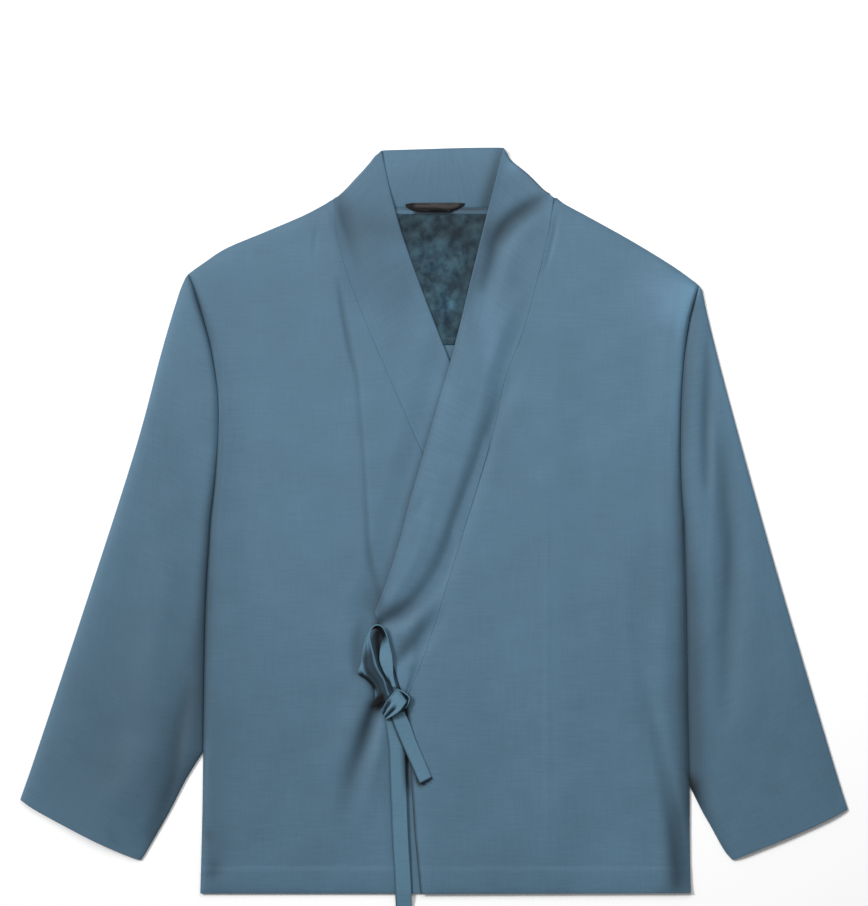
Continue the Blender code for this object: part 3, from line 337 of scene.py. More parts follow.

# Painted shade along creases, in hollows, in the armholes and under the ties, depth being how much darker; a
# minus depth paints light instead
PAINTED_CREASE_SHADE = [
    # Armhole and side on the right
    fold((262, 635, 0.08, 4, 2), (257, 611, 0.28, 8, 2), (251, 588, 0.44), (249, 560, 0.48),
         (246.5, 515, 0.52), (245, 463, 0.48, 7.5, 3), (246.5, 421, 0.48, 7, 5), (249, 390, 0.5, 7),
         (251.5, 307, 0.56, 12, 9), (253, 202, 0.58, 15, 12), (255, 112, 0.52, 14, 13),
         (256, 60, 0.34, 4, 20), (257, 10, 0.28, 4, 22)),
    fold((256, 114, 0.44, 10, 2), (268, 88, 0.36, 9, 3), (276, 72, 0.3, 8, 3), (290, 46, 0.2, 7, 3)),
    fold((263, 630, 0.1, 4, 3), (259, 618, 0.24, 7, 3), (256, 608, 0.16, 7, 2), (252, 596, 0.04, 6, 2)),
    # Lighter edge of the front beside it
    fold((258, 628, -0.22, 4, 6), (252, 612, -0.26), (247.5, 599, -0.26), (244, 578, -0.2, 4, 5),
         (242.5, 552, -0.16), (240, 515, -0.18), (239, 485, -0.05), (238.5, 465, -0.01)),
    # Lighter bottom of that armhole
    fold((260, 622, -0.2, 1.4), (253, 594, -0.5), (248, 560, -0.7), (245, 515, -0.55), (244, 463, -0.45),
         (246, 421, -0.35), (248, 390, -0.15)),
    fold((237, 455, 0.01, 6), (239, 420, 0.06, 7), (241, 385, 0.07), (243, 345, 0.01)),
    # Lighter bottom of the armhole on the left
    fold((-246, 570, -0.1, 1.4), (-239.5, 536, -0.3), (-237.3, 494, -0.6), (-240, 450, -0.25),
         (-243, 420, -0.01)),
    # Armhole and side on the left
    fold((-266, 641, 0.2, 4, 3), (-259, 621, 0.46, 4, 5), (-250, 595, 0.4, 5), (-245, 573, 0.28, 7, 4),
         (-238, 526, 0.18), (-237, 484, 0.24), (-241, 430, 0.34, 7, 5), (-246, 390, 0.42, 7, 6),
         (-250, 307, 0.54, 7, 8), (-252, 228, 0.48, 6, 16), (-255, 150, 0.32, 5, 19), (-275, 112, 0.3, 8, 18),
         (-300, 60, 0.24, 8, 14)),
    # Lighter fold of the sleeve on the right
    fold((270, 618, -0.06, 6, 8), (296, 515, -0.36, 8, 9), (319, 432, -0.28), (339, 359, -0.2, 7, 6),
         (385, 202, -0.18, 6, 5), (418, 95, -0.18)),
    # Lighter fold of the sleeve on the left
    fold((-277, 630, -0.05, 5, 3), (-296, 567, -0.18), (-324, 463, -0.18), (-374, 307, -0.16),
         (-426, 150, -0.12), (-442, 104, -0.1)),
    # Neck trough
    fold((100, 728, 0.26, 7, 5), (91, 721, 0.46, 8, 7), (80, 713, 0.6, 8, 9), (67, 703, 0.58),
         (57, 690, 0.52, 8, 10), (50, 677, 0.44, 7, 12), (46, 663, 0.34), (41, 649, 0.26, 6, 12),
         (34, 635, 0.16, 6, 10), (28, 620, 0.04, 6, 8)),
    # Back collar by the turned edges
    fold((57, 774, 0.3, 3, 6), (51, 750, 0.46, 3, 7), (44, 722, 0.5, 3, 8), (39, 706, 0.4)),
    # Free edge of the top collar
    fold((36, 682, 0.14, 3), (10, 575, 0.26), (-5, 522, 0.2), (-21, 467, 0.26, 3, 4), (-38, 408, 0.26, 3, 5),
         (-48, 369, 0.22, 3, 6), (-62, 325, 0.24, 3, 8), (-72, 297, 0.26, 3, 9)),
    # Long trough down the collar
    fold((46, 500, 0.02, 7, 8), (34, 462, 0.05, 9, 8), (24, 439, 0.06), (10, 399, 0.08, 10, 8),
         (-6, 365, 0.07, 12, 8), (-16, 342, 0.08, 14, 9), (-25, 326, 0.12), (-37, 308, 0.26, 12, 9),
         (-49, 298, 0.44, 11, 9), (-62, 292, 0.46, 9, 8), (-72, 287, 0.3, 6, 5)),
    # Second trough above the knot
    fold((-12, 309, 0.02, 7), (-17, 294, 0.1, 8), (-25, 281, 0.2), (-33, 268, 0.28), (-42, 257, 0.28, 8, 7),
         (-50, 248, 0.16, 7, 6), (-54, 240, 0.02, 5)),
    # Around the bow
    fold((-84, 286, 0.1, 6), (-91, 268, 0.24, 8, 7), (-92, 248, 0.3), (-91, 234, 0.3, 8, 6)),
    # Under the loop's lower edge
    fold((-89, 228.5, 0.2, 3), (-82, 223, 0.4, 3.5), (-76, 216, 0.5, 4), (-72, 208, 0.6, 5), (-70, 200, 0.7),
         (-69, 192, 0.5, 4, 5)),
    # Hollow inside the loop
    fold((-71, 278, 0.95, 6, 5), (-71, 264, 0.98, 7, 5), (-70, 250, 0.98, 6, 4), (-66, 238, 0.95, 4, 3),
         (-60, 226, 0.9, 3)),
    # Hollow beside the knot
    fold((-49, 214, 0.8, 2.5), (-44, 207, 0.98, 3.5), (-40, 202, 0.95, 3)),
    fold((-42, 194, 0.9, 2.4), (-39.5, 187, 0.9, 2.2, 2.4), (-37, 180, 0.4, 2)),
    # Under the short tail's cut end
    fold((-37, 142, 0.2, 2), (-33, 131, 0.6), (-29.5, 119, 0.8, 2.4), (-26.5, 114.6, 0.85), (-20, 117, 0.8),
         (-14.5, 120.2, 0.5, 2)),
    # Beside the tails
    fold((-42, 158, 0.5, 2.5, 3), (-41, 146, 0.92, 2.8, 4), (-40, 130, 0.94), (-39, 116, 0.88, 2.6, 4),
         (-38, 106, 0.4, 2.5, 4), (-37, 98, 0.02)),
    fold((-57.5, 188, 0.8, 1.2, 1.8), (-52.6, 176, 0.8), (-45.6, 159, 0.8), (-42, 150, 0.6)),
    # Trough below the knot
    fold((-76, 196, 0.66, 7, 6), (-83, 176, 0.56, 7), (-90, 152, 0.38, 8), (-98, 129, 0.18, 8, 10),
         (-104, 103, 0.08, 9, 10), (-110, 72, 0.01)),
    # Long narrow crease
    fold((-113, 640, 0.06, 4, 3), (-108, 614, 0.16), (-103, 588, 0.18), (-98, 562, 0.16), (-92, 538, 0.12, 3),
         (-89, 502, 0.1), (-85, 453, 0.1), (-82, 397, 0.14), (-80, 364, 0.22, 4), (-77, 343, 0.24),
         (-71, 317, 0.2), (-67, 300, 0.1)),
    # Hollow under the turned collar
    fold((-114, 727, 0.2, 10, 4), (-109, 711, 0.26, 12, 4), (-104, 696, 0.2, 12, 5), (-98, 679, 0.1),
         (-90, 655, 0.02, 10, 5)),
    # Valleys of the sleeve on the right
    fold((275, 593, 0.08, 6, 4), (273, 562, 0.18, 7, 4), (272, 515, 0.24, 8, 5), (271, 474, 0.24),
         (270, 437, 0.16, 8, 4), (270, 416, 0.02, 6, 4)),
    fold((285, 474, 0.04, 8, 6), (288, 450, 0.1, 10, 7), (291, 411, 0.15, 12, 8), (294, 369, 0.18, 14, 8),
         (294, 333, 0.18, 15, 8), (292, 291, 0.15, 15, 9), (290, 249, 0.1), (288, 202, 0.05, 12, 9)),
    # Lower sleeve dent on the left
    fold((-268, 210, 0.1, 8), (-278, 170, 0.22, 9, 8), (-283, 129, 0.28), (-294, 98, 0.26, 10, 9),
         (-308, 66, 0.16)),
    # Side trough at the hem
    fold((214, 191, 0.02, 7), (222, 150, 0.1, 8, 7), (230, 110, 0.2, 9, 8), (236, 74, 0.28, 9),
         (239, 46, 0.34), (241, 10, 0.34)),
]

# Half bow, each row x, y, z of the strip's lower edge and of its upper edge
LOOP = [
    (-78, 194.5, 8.4, -55.5, 204, 11), (-73.5, 206, 8.4, -60, 212.5, 11.4), (-76, 216, 8.2, -63.5, 224, 12.6),
    (-82.5, 223.5, 8, -68.5, 232.5, 13.4), (-91.5, 230.5, 7.8, -71.5, 239.5, 14),
    (-88.5, 241, 7.8, -74, 249, 14.4), (-87, 252.5, 7.8, -76.5, 258.5, 14.8),
    (-83.5, 264, 8.2, -78.5, 268, 15.2), (-80, 273, 8.4, -77.5, 275.5, 15.4),
    (-74.5, 277.5, 8.4, -75, 280, 15.6), (-69, 275.5, 8.6, -70, 281.5, 15.6), (-66, 269, 8.8, -65, 279, 15.4),
    (-67, 262, 9, -61, 271, 15), (-68.5, 252.5, 9, -58, 260, 14.4), (-68.5, 243, 9.2, -55.5, 249, 13.8),
    (-65, 233.5, 9.5, -54.5, 238, 13.2), (-60, 224, 9.8, -54, 227.5, 12.4),
    (-56.5, 215.5, 10, -51.5, 216.5, 11.8),
]
TAIL_SHORT = [
    (-57.5, 188.4, 9.6, -43, 190.2, 8.4), (-54, 176, 9.6, -37, 178, 7.7), (-46.9, 159, 9.4, -31, 161, 7.6),
    (-37, 137, 9.4, -22, 140, 7.7), (-27, 114.5, 10.6, -14, 121, 8.4),
]
# Root of the short tail, turned on its edge beside the knot
TAIL_TURN = [
    (-50, 212.5, 8.8, -50.5, 214.5, 13), (-44.5, 209.5, 8.8, -44, 211.5, 13.4),
    (-39.5, 205, 8.8, -37.6, 205.8, 13.4), (-39.8, 200.5, 8.8, -38.4, 199.6, 13),
    (-43, 195, 8.8, -41.8, 193.6, 12),
]
TAIL_LONG = [
    (-63, 196, 7, -48.5, 195, 7), (-63, 186, 7, -48.5, 185, 7), (-61, 169, 6.8, -46, 169, 6.6),
    (-59, 150, 6.8, -42, 150, 6.3), (-58, 119, 6.8, -41, 119, 6.1), (-56, 67, 6.6, -39.2, 67, 6),
    (-53, 12, 5.6, -36, 12, 5.2), (-52.5, 0, 4.9, -35.5, 0, 4.7), (-52, -12, 2.6, -35, -12, 2.4),
    (-51.5, -24, 1, -34.5, -24, 1), (-51, -38, 0.8, -34, -38, 0.8),
]
KNOT_MIDDLE = (-54.5, 200, 12.0)
KNOT_HALF = (8.0, 8.5, 4.2)
KNOT_TURN = -0.5
# Wrap of the knot: its edge towards the loop, then its edge towards the tails
KNOT_WRAP = [
    (-66.5, 189.5, 8.6, -61.5, 181.5, 8.6), (-65.4, 191.5, 11.6, -60, 183.4, 11.4),
    (-63.4, 198.2, 14.6, -54.6, 186.4, 14.2), (-60, 203.6, 16.3, -48.8, 190.4, 15.8),
    (-55.8, 208.8, 16.6, -44.6, 194.8, 16.2), (-51.8, 213.2, 15.2, -41.2, 199.4, 14.8),
    (-50.2, 214.6, 12, -40.2, 201.2, 11.8), (-50.6, 214, 8.8, -41, 201.2, 8.8),
]

# Darkest and lightest colour of the lining
LINING_COLOURS = ((0.000, 0.013, 0.025), (0.026, 0.072, 0.100))
# Distance between threads, and length of one wave at scale 1, both in metres
THREAD_PITCH = 0.00048
WAVE_LENGTH = 0.314
# Waves of the noise across and along for slubs in both threads and slow clouds
WEFT_SCALE = (34.0, 620.0)
WARP_SCALE = (560.0, 26.0)
CLOUD_SCALE = (22.0, 22.0)
BLOT_SCALE = (62.0, 50.0)
FINE_BLOT_SCALE = (190.0, 170.0)
GRAIN_SCALE = (900.0, 900.0)

# Places beside an edge where extra rows round the cloth over
EDGE_STEPS = np.array([0.25, 1.0])
FOLD_STEPS = np.array([0.15, 0.6, 1.4, 2.6])

# Colour and its spread, roughness, sheen, shine and relief of the weave
LOOKS = {
    "body": ((0.0695, 0.1415, 0.2075), 0.11, 0.60, 0.10, 0.30, 1.0),
    "collar": ((0.0695, 0.1415, 0.2085), 0.11, 0.60, 0.10, 0.30, 1.0),
    # The tie's colour is lighter than the body's, partly as painted light on its raised strips and partly
    # making up for its lower sheen and shine
    "tie": ((0.089, 0.178, 0.250), 0.11, 0.65, 0.02, 0.15, 1.0),
    "neck": ((0.060, 0.124, 0.184), 0.10, 0.60, 0.10, 0.30, 1.0),
    "tape": ((0.036, 0.033, 0.032), 0.18, 0.70, 0.06, 0.20, 1.4),
}


def ease(start, stop, value):
    """0 before start, 1 after stop and a soft rise between."""
    share = np.clip((value - start) / (stop - start), 0, 1)
    return share * share * (3 - 2 * share)


def fade(start, stop, value):
    """1 before start, 0 after stop and a soft fall between."""
    return 1 - ease(start, stop, value)


def bell(value, middle, reach):
    """1 at the middle, dying away on both sides."""
    return np.exp(-((value - middle) / reach) ** 2)


def at_least(value, floor):
    """The larger of the two with a soft change-over, never under the floor."""
    return 0.5 * (value + floor + np.sqrt((value - floor) ** 2 + 0.09))


def curve(places, pieces=12):
    """A dense smooth line through the places of a table."""
    points = np.array(places, float)
    padded = np.vstack([2 * points[0] - points[1], points, 2 * points[-1] - points[-2]])
    before, start, stop, after = (padded[first:len(points) - 1 + first, None] for first in range(4))
    t = np.linspace(0, 1, pieces + 1)[1:, None]
    bend = 2 * before - 5 * start + 4 * stop - after
    twist = 3 * start - before - 3 * stop + after
    line = 0.5 * (2 * start + (stop - before) * t + bend * t ** 2 + twist * t ** 3)
    return np.vstack([points[:1], line.reshape(-1, points.shape[1])])


def lengths(face, axis=0):
    """Distance travelled along one axis of a line or a grid, at each of its points."""
    travelled = np.cumsum(np.linalg.norm(np.diff(face, axis=axis), axis=-1), axis=axis)
    return np.insert(travelled, 0, 0, axis=axis)


def length_of(places):
    """Length of a table's smooth line."""
    return lengths(curve(places))[-1]


def along(places, shares):
    """Points of a smooth line at the given shares of its length."""
    line = curve(places)
    travelled = lengths(line)
    wanted = np.asarray(shares) * travelled[-1]
    return np.stack([np.interp(wanted, travelled, line[:, axis]) for axis in range(line.shape[1])], axis=-1)


def evenly(count):
    """Shares from 0 to 1 in count equal steps."""
    return np.linspace(0, 1, count + 1)


def edged(count, length, start=False, stop=False, hem=False):
    """Equal steps along a length, with closer ones by a rounded edge and at the line of a turned-up hem."""
    shares = evenly(count)
    if hem:
        above, below = 1 - (HEM + 0.4) / length, 1 - (HEM - 0.6) / length
        shares = np.concatenate([np.linspace(0, above, count - 6), np.linspace(below, 1, 7)])
    near = EDGE_STEPS / length
    if start:
        shares = np.concatenate([[0], near, shares[1:]])
    if stop:
        shares = np.concatenate([shares[:-1], 1 - near[::-1], [1]])
    return shares


def joined(*paths):
    """Tables or paths that follow each other, each corner kept once."""
    return np.vstack([paths[0]] + [path[1:] for path in paths[1:]])


def moved_aside(path, distance):
    """A path moved to its left by a distance in plan."""
    ahead = np.gradient(path[:, :2], axis=0)
    ahead /= np.linalg.norm(ahead, axis=1)[:, None]
    return path[:, :2] + distance * np.column_stack([-ahead[:, 1], ahead[:, 0]])


def beside_seam(path, distance):
    """The collar's side of a seam, its corner at the neck raised as well."""
    path = moved_aside(path, distance)
    path[0, 1] += SEAM_LINE / 2
    return path


def nearest_on(x, y, start, stop):
    """Share of the way along one step where each point is nearest, and how far off it is in x and y."""
    step = (stop - start)[:2]
    share = np.clip(((x - start[0]) * step[0] + (y - start[1]) * step[1]) / (step @ step), 0, 1)
    return share, x - start[0] - share * step[0], y - start[1] - share * step[1]


def distance_to(x, y, places):
    """Distance in plan from each point to a table's line."""
    line = np.array(places, float)
    nearest = np.full(np.shape(x), 1e9)
    for start, stop in zip(line, line[1:]):
        nearest = np.minimum(nearest, np.hypot(*nearest_on(x, y, start, stop)[1:]))
    return nearest


def beside(x, y, places, reach):
    """1 on a table's line, dying away from it."""
    return np.exp(-distance_to(x, y, places) / reach)


def x_at(places, y):
    """x of a line that runs down the jacket, at each height y."""
    line = curve(places)
    order = np.argsort(line[:, 1])
    return np.interp(y, line[order, 1], line[order, 0])


def crease_depth(x, y, line):
    """Depth of one crease at each point, from the nearest place on its line."""
    closest = np.full(x.shape, 1e9)
    depth = np.zeros(x.shape)
    for start, stop in zip(line, line[1:]):
        share, away_x, away_y = nearest_on(x, y, start, stop)
        own, plus, minus = (start + share[:, None] * (stop - start))[:, 2:].T
        on_plus = (stop - start)[0] * away_y - (stop - start)[1] * away_x > 0
        gone = np.hypot(away_x, away_y)
        depth = np.where(gone < closest, own * bell(gone, 0, np.where(on_plus, plus, minus)), depth)
        closest = np.minimum(closest, gone)
    return depth


def folded(x, y, folds):
    """Height that a table of creases adds to a flat cloth."""
    total = np.zeros(np.shape(x))
    for crease in folds:
        line = curve(crease, 4)
        reach = 3 * line[:, 3:].max()
        low, high = line[:, :2].min(axis=0) - reach, line[:, :2].max(axis=0) + reach
        near = (x > low[0]) & (x < high[0]) & (y > low[1]) & (y < high[1])
        total[near] -= crease_depth(x[near], y[near], line)
    return total


def drift(x, y, height, wave, seed):
    """Slow unevenness of cloth that lies loosely."""
    draw = np.random.default_rng(seed)
    total = np.zeros(np.shape(x))
    for _ in range(DRIFT_WAVES):
        angle = draw.uniform(0, np.pi)
        length = wave * draw.uniform(0.6, 1.8)
        total += np.sin(2 * np.pi * ((x * np.cos(angle) + y * np.sin(angle)) / length + draw.uniform()))
    return height * total / np.sqrt(DRIFT_WAVES)


def shown_share(x, y):
    """0 under the top front and its collar, 1 where the under layers are well in view."""
    return ease(8, 34, x_at(joined(TOP_EDGE, TOP_EDGE_END, TOP_FREE_EDGE), y) - x)


def in_under_band(x, y):
    """1 above the hidden stretch of the under collar, 0 well beside it."""
    left = ease(-14, -2, x - x_at(UNDER_SEAM, y))
    right = ease(-14, -2, x_at(joined(UNDER_EDGE, UNDER_END), y) - x)
    return left * right * ease(196, 210, y) * fade(580, 600, y)


def side_roll(x, y, sides, reach, wide):
    """The front's small swell beside its side seam and its roll down into it, softer lower down."""
    gone = distance_to(x, y, joined(*sides))
    low = fade(300, 450, y)
    wide = wide * (0.3 + 0.7 * low)
    swell = 0.4 * bell(gone, 9, 5) + 0.6 * wide * bell(gone, 18 + 6 * low, 9 + 4 * low)
    return swell - 3 * np.exp(-(gone / reach) ** 1.5) - wide * bell(gone, 0, 6 + 8 * low)


def to_edge(level, low, gone):
    """A level that falls to a low one at an edge."""
    return level - (level - low) * np.exp(-gone / EDGE_REACH)


def hem_band(y):
    """The turned-up hem, one layer higher than the rest."""
    return HEM_RISE * fade(HEM - 0.2, HEM + 1, y)


def under_front_top(x, y):
    """Upper face of the under front."""
    shown = shown_share(x, y)
    level = UNDER_FRONT_HIDDEN + (UNDER_FRONT_SHOWN - UNDER_FRONT_HIDDEN) * shown
    level = level + shown * (folded(x, y, UNDER_FOLDS) + drift(x, y, 0.16, 60, 3))
    level = level + (0.3 + 2.1 * ease(600, 680, y)) * shown * beside(x, y, UNDER_SEAM, 16)
    level = at_least(level + side_roll(x, y, BODY_RIGHT, 1.3, 0.0), BODY_SIDE_TOP)
    level = to_edge(level, SHOULDER_TOP, distance_to(x, y, SHOULDER_RIGHT))
    return to_edge(level, UNDER_HEM_TOP, np.maximum(y, 0)) + shown * hem_band(y)


def top_front_top(x, y):
    """Upper face of the top front."""
    lifted = fade(112, 150, x) * fade(590, 650, y)
    level = TOP_FRONT + (TOP_FRONT_OVER_UNDER - TOP_FRONT) * lifted
    level = level + 0.2 * beside(x, y, joined(TOP_SEAM, TOP_SEAM_END), 22)
    level = level + folded(x, y, TOP_FOLDS) + drift(x, y, 0.16, 60, 5)
    level = level + 3 * bell(x, 248, 34) * bell(y, 620, 45)
    level = at_least(level, 4.0 + 0.4 * lifted + 1.1 * in_under_band(x, y))
    level = at_least(level + side_roll(x, y, BODY_LEFT, 1.6, 2.2), BODY_SIDE_TOP)
    level = to_edge(level, SHOULDER_TOP, distance_to(x, y, SHOULDER_LEFT))
    by_free_edge = beside(x, y, TOP_FREE_EDGE, 8) * fade(203, 240, y)
    level = level - (level - FREE_EDGE_TOP) * by_free_edge
    return to_edge(level, TOP_HEM_TOP, np.maximum(y, 0)) + hem_band(y)


def front_thickness(x, y, sides, shoulder):
    """Cloth, with the seam allowance folded in along the side and the shoulder."""
    at_side = beside(x, y, joined(*sides), ALLOWANCE_REACH)
    return CLOTH + 1.5 * at_side + 0.5 * beside(x, y, shoulder, ALLOWANCE_REACH)


def painted_light_and_shade(x, y):
    """Painted light and shade over the jacket: broad lighter and darker patches, and painted shade along its
    creases.
    """
    total = np.ones(np.shape(x))
    for middle_x, middle_y, change, across, along_it in BROAD_LIGHT_AND_SHADE:
        total += change * np.exp(-((x - middle_x) / across) ** 2 - ((y - middle_y) / along_it) ** 2)
    return total * np.clip(1 + folded(x, y, PAINTED_CREASE_SHADE), *TONE_LIMITS)


def hollowness(height):
    """0 on level cloth and ridges, up to 1 in a deep crease, from a grid of heights."""
    around = height
    for axis, reach in enumerate(HOLLOW_REACH):
        padded = np.pad(around, [(reach, reach) if a == axis else (0, 0) for a in (0, 1)], "edge")
        count, steps = around.shape[axis], 2 * reach + 1
        around = sum(padded.take(range(step, step + count), axis) for step in range(steps)) / steps
    return np.clip((around - height) / HOLLOW_DEPTH, 0, 1)


def hollow_shaded_tones(x, y, height):
    """The jacket's painted light and shade, with more painted shade in the hollows of a grid of heights."""
    return painted_light_and_shade(x, y) * (1 - HOLLOW_SHADE * hollowness(height))


def border_distance(face, closed):
    """Distance of every point of a grid to its nearest border, measured along the grid."""
    down, across = lengths(face), lengths(face, 1)
    gone = np.minimum(down, down[-1] - down)
    return gone if closed else np.minimum(gone, np.minimum(across, across[:, -1:] - across))


def rounded_over(face, half, closed=False):
    """How far each face of a cloth draws in towards the middle near its border."""
    half = np.maximum(half, 0.05)
    gone = np.clip(border_distance(face, closed) / half, 0, 1)
    return 0.85 * half * (1 - np.sqrt(1 - (1 - gone) ** 2))


def normals_of(face, closed):
    """The outward direction at every point of a grid."""
    if closed:
        across = np.roll(face, -1, axis=1) - np.roll(face, 1, axis=1)
    else:
        across = np.gradient(face, axis=1)
    normal = np.cross(np.gradient(face, axis=0), across)
    normal /= np.maximum(np.linalg.norm(normal, axis=2), 1e-9)[..., None]
    return normal * np.sign(normal[:, 1:5, 2].mean())


def cut_of(face):
    """Places on the flat cut cloth: across, then along, in millimetres."""
    travelled = lengths(face[:, face.shape[1] // 2])[:, None]
    return np.stack(np.broadcast_arrays(lengths(face, 1), travelled), axis=2)


def grid_faces(rows, columns, closed):
    """Corners of every face of a grid."""
    row, column = np.mgrid[0:rows - 1, 0:columns if closed else columns - 1]
    following = (column + 1) % columns
    corners = [row * columns + column, row * columns + following,
               (row + 1) * columns + following, (row + 1) * columns + column]
    return np.stack(corners, axis=-1).reshape(-1, 4)


def rim_faces(rows, columns, closed):
    """Faces that close a cloth along its borders."""
    grid = np.arange(rows * columns).reshape(rows, columns)
    if closed:
        loops = [grid[0], grid[-1]]
    else:
        loops = [np.concatenate([grid[0], grid[1:, -1], grid[-1, -2::-1], grid[-2:0:-1, 0]])]
    made = [np.stack([loop, np.roll(loop, -1), np.roll(loop, -1) + grid.size, loop + grid.size], axis=1)
            for loop in loops]
    return np.vstack(made)


def cloth_piece(name, upper, lower, cut, look, closed=False, tone=None):
    """A thin cloth between two faces of equal rows and columns, with its own painted tone or the jacket's
    painted light and shade.
    """
    rows, columns = upper.shape[:2]
    vertices = np.vstack([upper.reshape(-1, 3), lower.reshape(-1, 3)])
    outer = grid_faces(rows, columns, closed)
    faces = np.vstack([outer, outer[:, ::-1] + rows * columns, rim_faces(rows, columns, closed)])
    flat = np.vstack([cut.reshape(-1, 2)] * 2)
    if tone is None:
        tone = hollow_shaded_tones(*np.moveaxis(upper, 2, 0))
    return mesh_piece(name, vertices, faces.tolist(), flat, look, np.concatenate([tone.ravel()] * 2))


def mesh_piece(name, vertices, faces, flat, look, tone=1.0):
    """A smooth mesh on the jacket, with its place on the cut cloth and its tone, which carries painted light
    and shade, kept for its weave.
    """
    mesh = bpy.data.meshes.new(name)
    mesh.from_pydata(((vertices + GARMENT_PLACE) * MM).tolist(), [], faces)
    shaped = bmesh.new()
    shaped.from_mesh(mesh)
    bmesh.ops.recalc_face_normals(shaped, faces=shaped.faces[:])
    if shaped.calc_volume(signed=True) < 0:
        bmesh.ops.reverse_faces(shaped, faces=shaped.faces[:])
    shaped.to_mesh(mesh)
    shaped.free()
    mesh.polygons.foreach_set("use_smooth", [True] * len(mesh.polygons))
    kept = mesh.attributes.new("cut", "FLOAT_VECTOR", "POINT")
    tones = np.broadcast_to(tone, len(flat))
    kept.data.foreach_set("vector", np.column_stack([flat * MM, tones]).ravel())
    mesh.materials.append(look)
    return placed(name, mesh)


def shell(name, face, thickness, look, closed=False, sharp=0.0):
    """A cloth of even thickness under an outer face, its edges rounded over, less where sharp nears 1."""
    normal = normals_of(face, closed)
    thickness = np.broadcast_to(thickness, face.shape[:2])
    drawn = rounded_over(face, thickness / 2 * (1 - sharp), closed)
    upper = face - normal * drawn[..., None]
    lower = face - normal * (thickness - drawn)[..., None]
    return cloth_piece(name, upper, lower, cut_of(face), look, closed)


def with_height(plan, height):
    """Plan points lifted to a height."""
    return np.concatenate([plan, np.broadcast_to(height, plan.shape[:-1])[..., None]], axis=-1)


def patch(left, right, top, bottom, shares):
    """Rows of plan points between four edges, each row's points at its own shares of the way across."""
    down = evenly(len(left) - 1)[:, None, None]
    across = shares[..., None]
    between_sides = (1 - across) * left[:, None] + across * right[:, None]
    between_ends = (1 - down) * along(top, shares) + down * along(bottom, shares)
    start = (1 - across) * left[0] + across * right[0]
    stop = (1 - across) * left[-1] + across * right[-1]
    return between_sides + between_ends - (1 - down) * start - down * stop


def shares_across(left, right, count, close=EDGE_STEPS):
    """Each row's shares of the way across, with closer ones by both borders."""
    width = np.linalg.norm(right - left, axis=1)[:, None]
    near = np.minimum(close / width, np.linspace(0.02, 0.12, len(close)))
    inside = near[:, -1:] + (1 - 2 * near[:, -1:]) * evenly(count)[1:-1]
    none = np.zeros_like(width)
    return np.hstack([none, near, inside, 1 - near[:, ::-1], none + 1])


def panel(name, plan, top, thickness, floor, look, sharp=0.0, tone=None):
    """A cloth that lies flat, its plan lifted to a height, its edges less rounded where sharp nears 1."""
    drawn = rounded_over(with_height(plan, top), CLOTH / 2 * (1 - sharp))
    upper = with_height(plan, top - drawn)
    lower = with_height(plan, np.maximum(top - thickness, floor) + drawn)
    return cloth_piece(name, upper, lower, plan, look, tone=tone)


def side_points(armhole, side, end, end_shares):
    """The body's side from the shoulder down, row by row."""
    return joined(along(armhole, edged(ARMHOLE_ROWS, ARMHOLE_LENGTH, start=True)),
                  along(side, evenly(SIDE_ROWS)), along(end, end_shares))


def body_side(armhole, side, hem):
    """The body's side down to the hem."""
    return side_points(armhole, side, hem, edged(HEM_ROWS, length_of(hem), stop=True, hem=True))


def seam_rows(main, end=None):
    """The collar seam of one front, row by row from the neck."""
    if end is None:
        return along(main, edged(SEAM_ROWS, UNDER_SEAM_LENGTH, start=True))
    return joined(along(main, edged(SEAM_ROWS - END_ROWS, TOP_SEAM_LENGTH, start=True)),
                  along(end, evenly(END_ROWS)))


def front_panel(name, seam, free_edge, sides, shoulder, top_height, edge_shade=0.0):
    """One front, from its collar seam and free edge to the side."""
    toward = np.sign(shoulder[-1][0])
    inner = joined(seam, along(free_edge, edged(FREE_EDGE_ROWS, length_of(free_edge), stop=True, hem=True)))
    inner = moved_aside(inner, toward * SEAM_LINE / 2)
    outer = moved_aside(body_side(*sides), -toward * SLEEVE_GAP / 2)
    shares = shares_across(inner, outer, FRONT_COLUMNS)
    hem = [tuple(inner[-1]), tuple(outer[-1])]
    upper_edge = [tuple(inner[0])] + shoulder[1:-1] + [tuple(outer[0])]
    plan = patch(inner, outer, upper_edge, hem, shares)
    x, y = plan[..., 0], plan[..., 1]
    thickness = front_thickness(x, y, sides, shoulder)
    sharp = np.zeros(x.shape)
    sharp[:len(seam), :4] = SEAM_SHARPNESS
    sharp[:, -4:] = SEAM_SHARPNESS * ease(385, 400, y[:, -4:])
    height = top_height(x, y)
    tone = hollow_shaded_tones(x, y, height) * (1 - edge_shade * bell(distance_to(x, y, free_edge), 0, 1.4))
    return panel(name, plan, height, thickness, FRONT_BOTTOM, LOOK["body"], sharp, tone)


def back_panel():
    """The back, lying on the surface, cut to the neck seam and the shoulders."""
    left = moved_aside(body_side(*BODY_RIGHT), SEAM_GAP / 2)[::3]
    right = moved_aside(body_side(*BODY_LEFT), -SEAM_GAP / 2)[::3]
    neck = moved_aside(np.array(NECK_SEAM, float), -SEAM_GAP / 2)
    top = [tuple(left[0])] + SHOULDER_RIGHT[-2:0:-1] + [tuple(place) for place in neck]
    top += SHOULDER_LEFT[1:-1] + [tuple(right[0])]
    hem = [tuple(left[-1]), tuple(right[-1])]
    plan = patch(left, right, top, hem, shares_across(left, right, BACK_COLUMNS))
    return panel("back_cloth", plan, np.full(plan.shape[:2], BACK_TOP), CLOTH, 0.0, LOOK["body"])


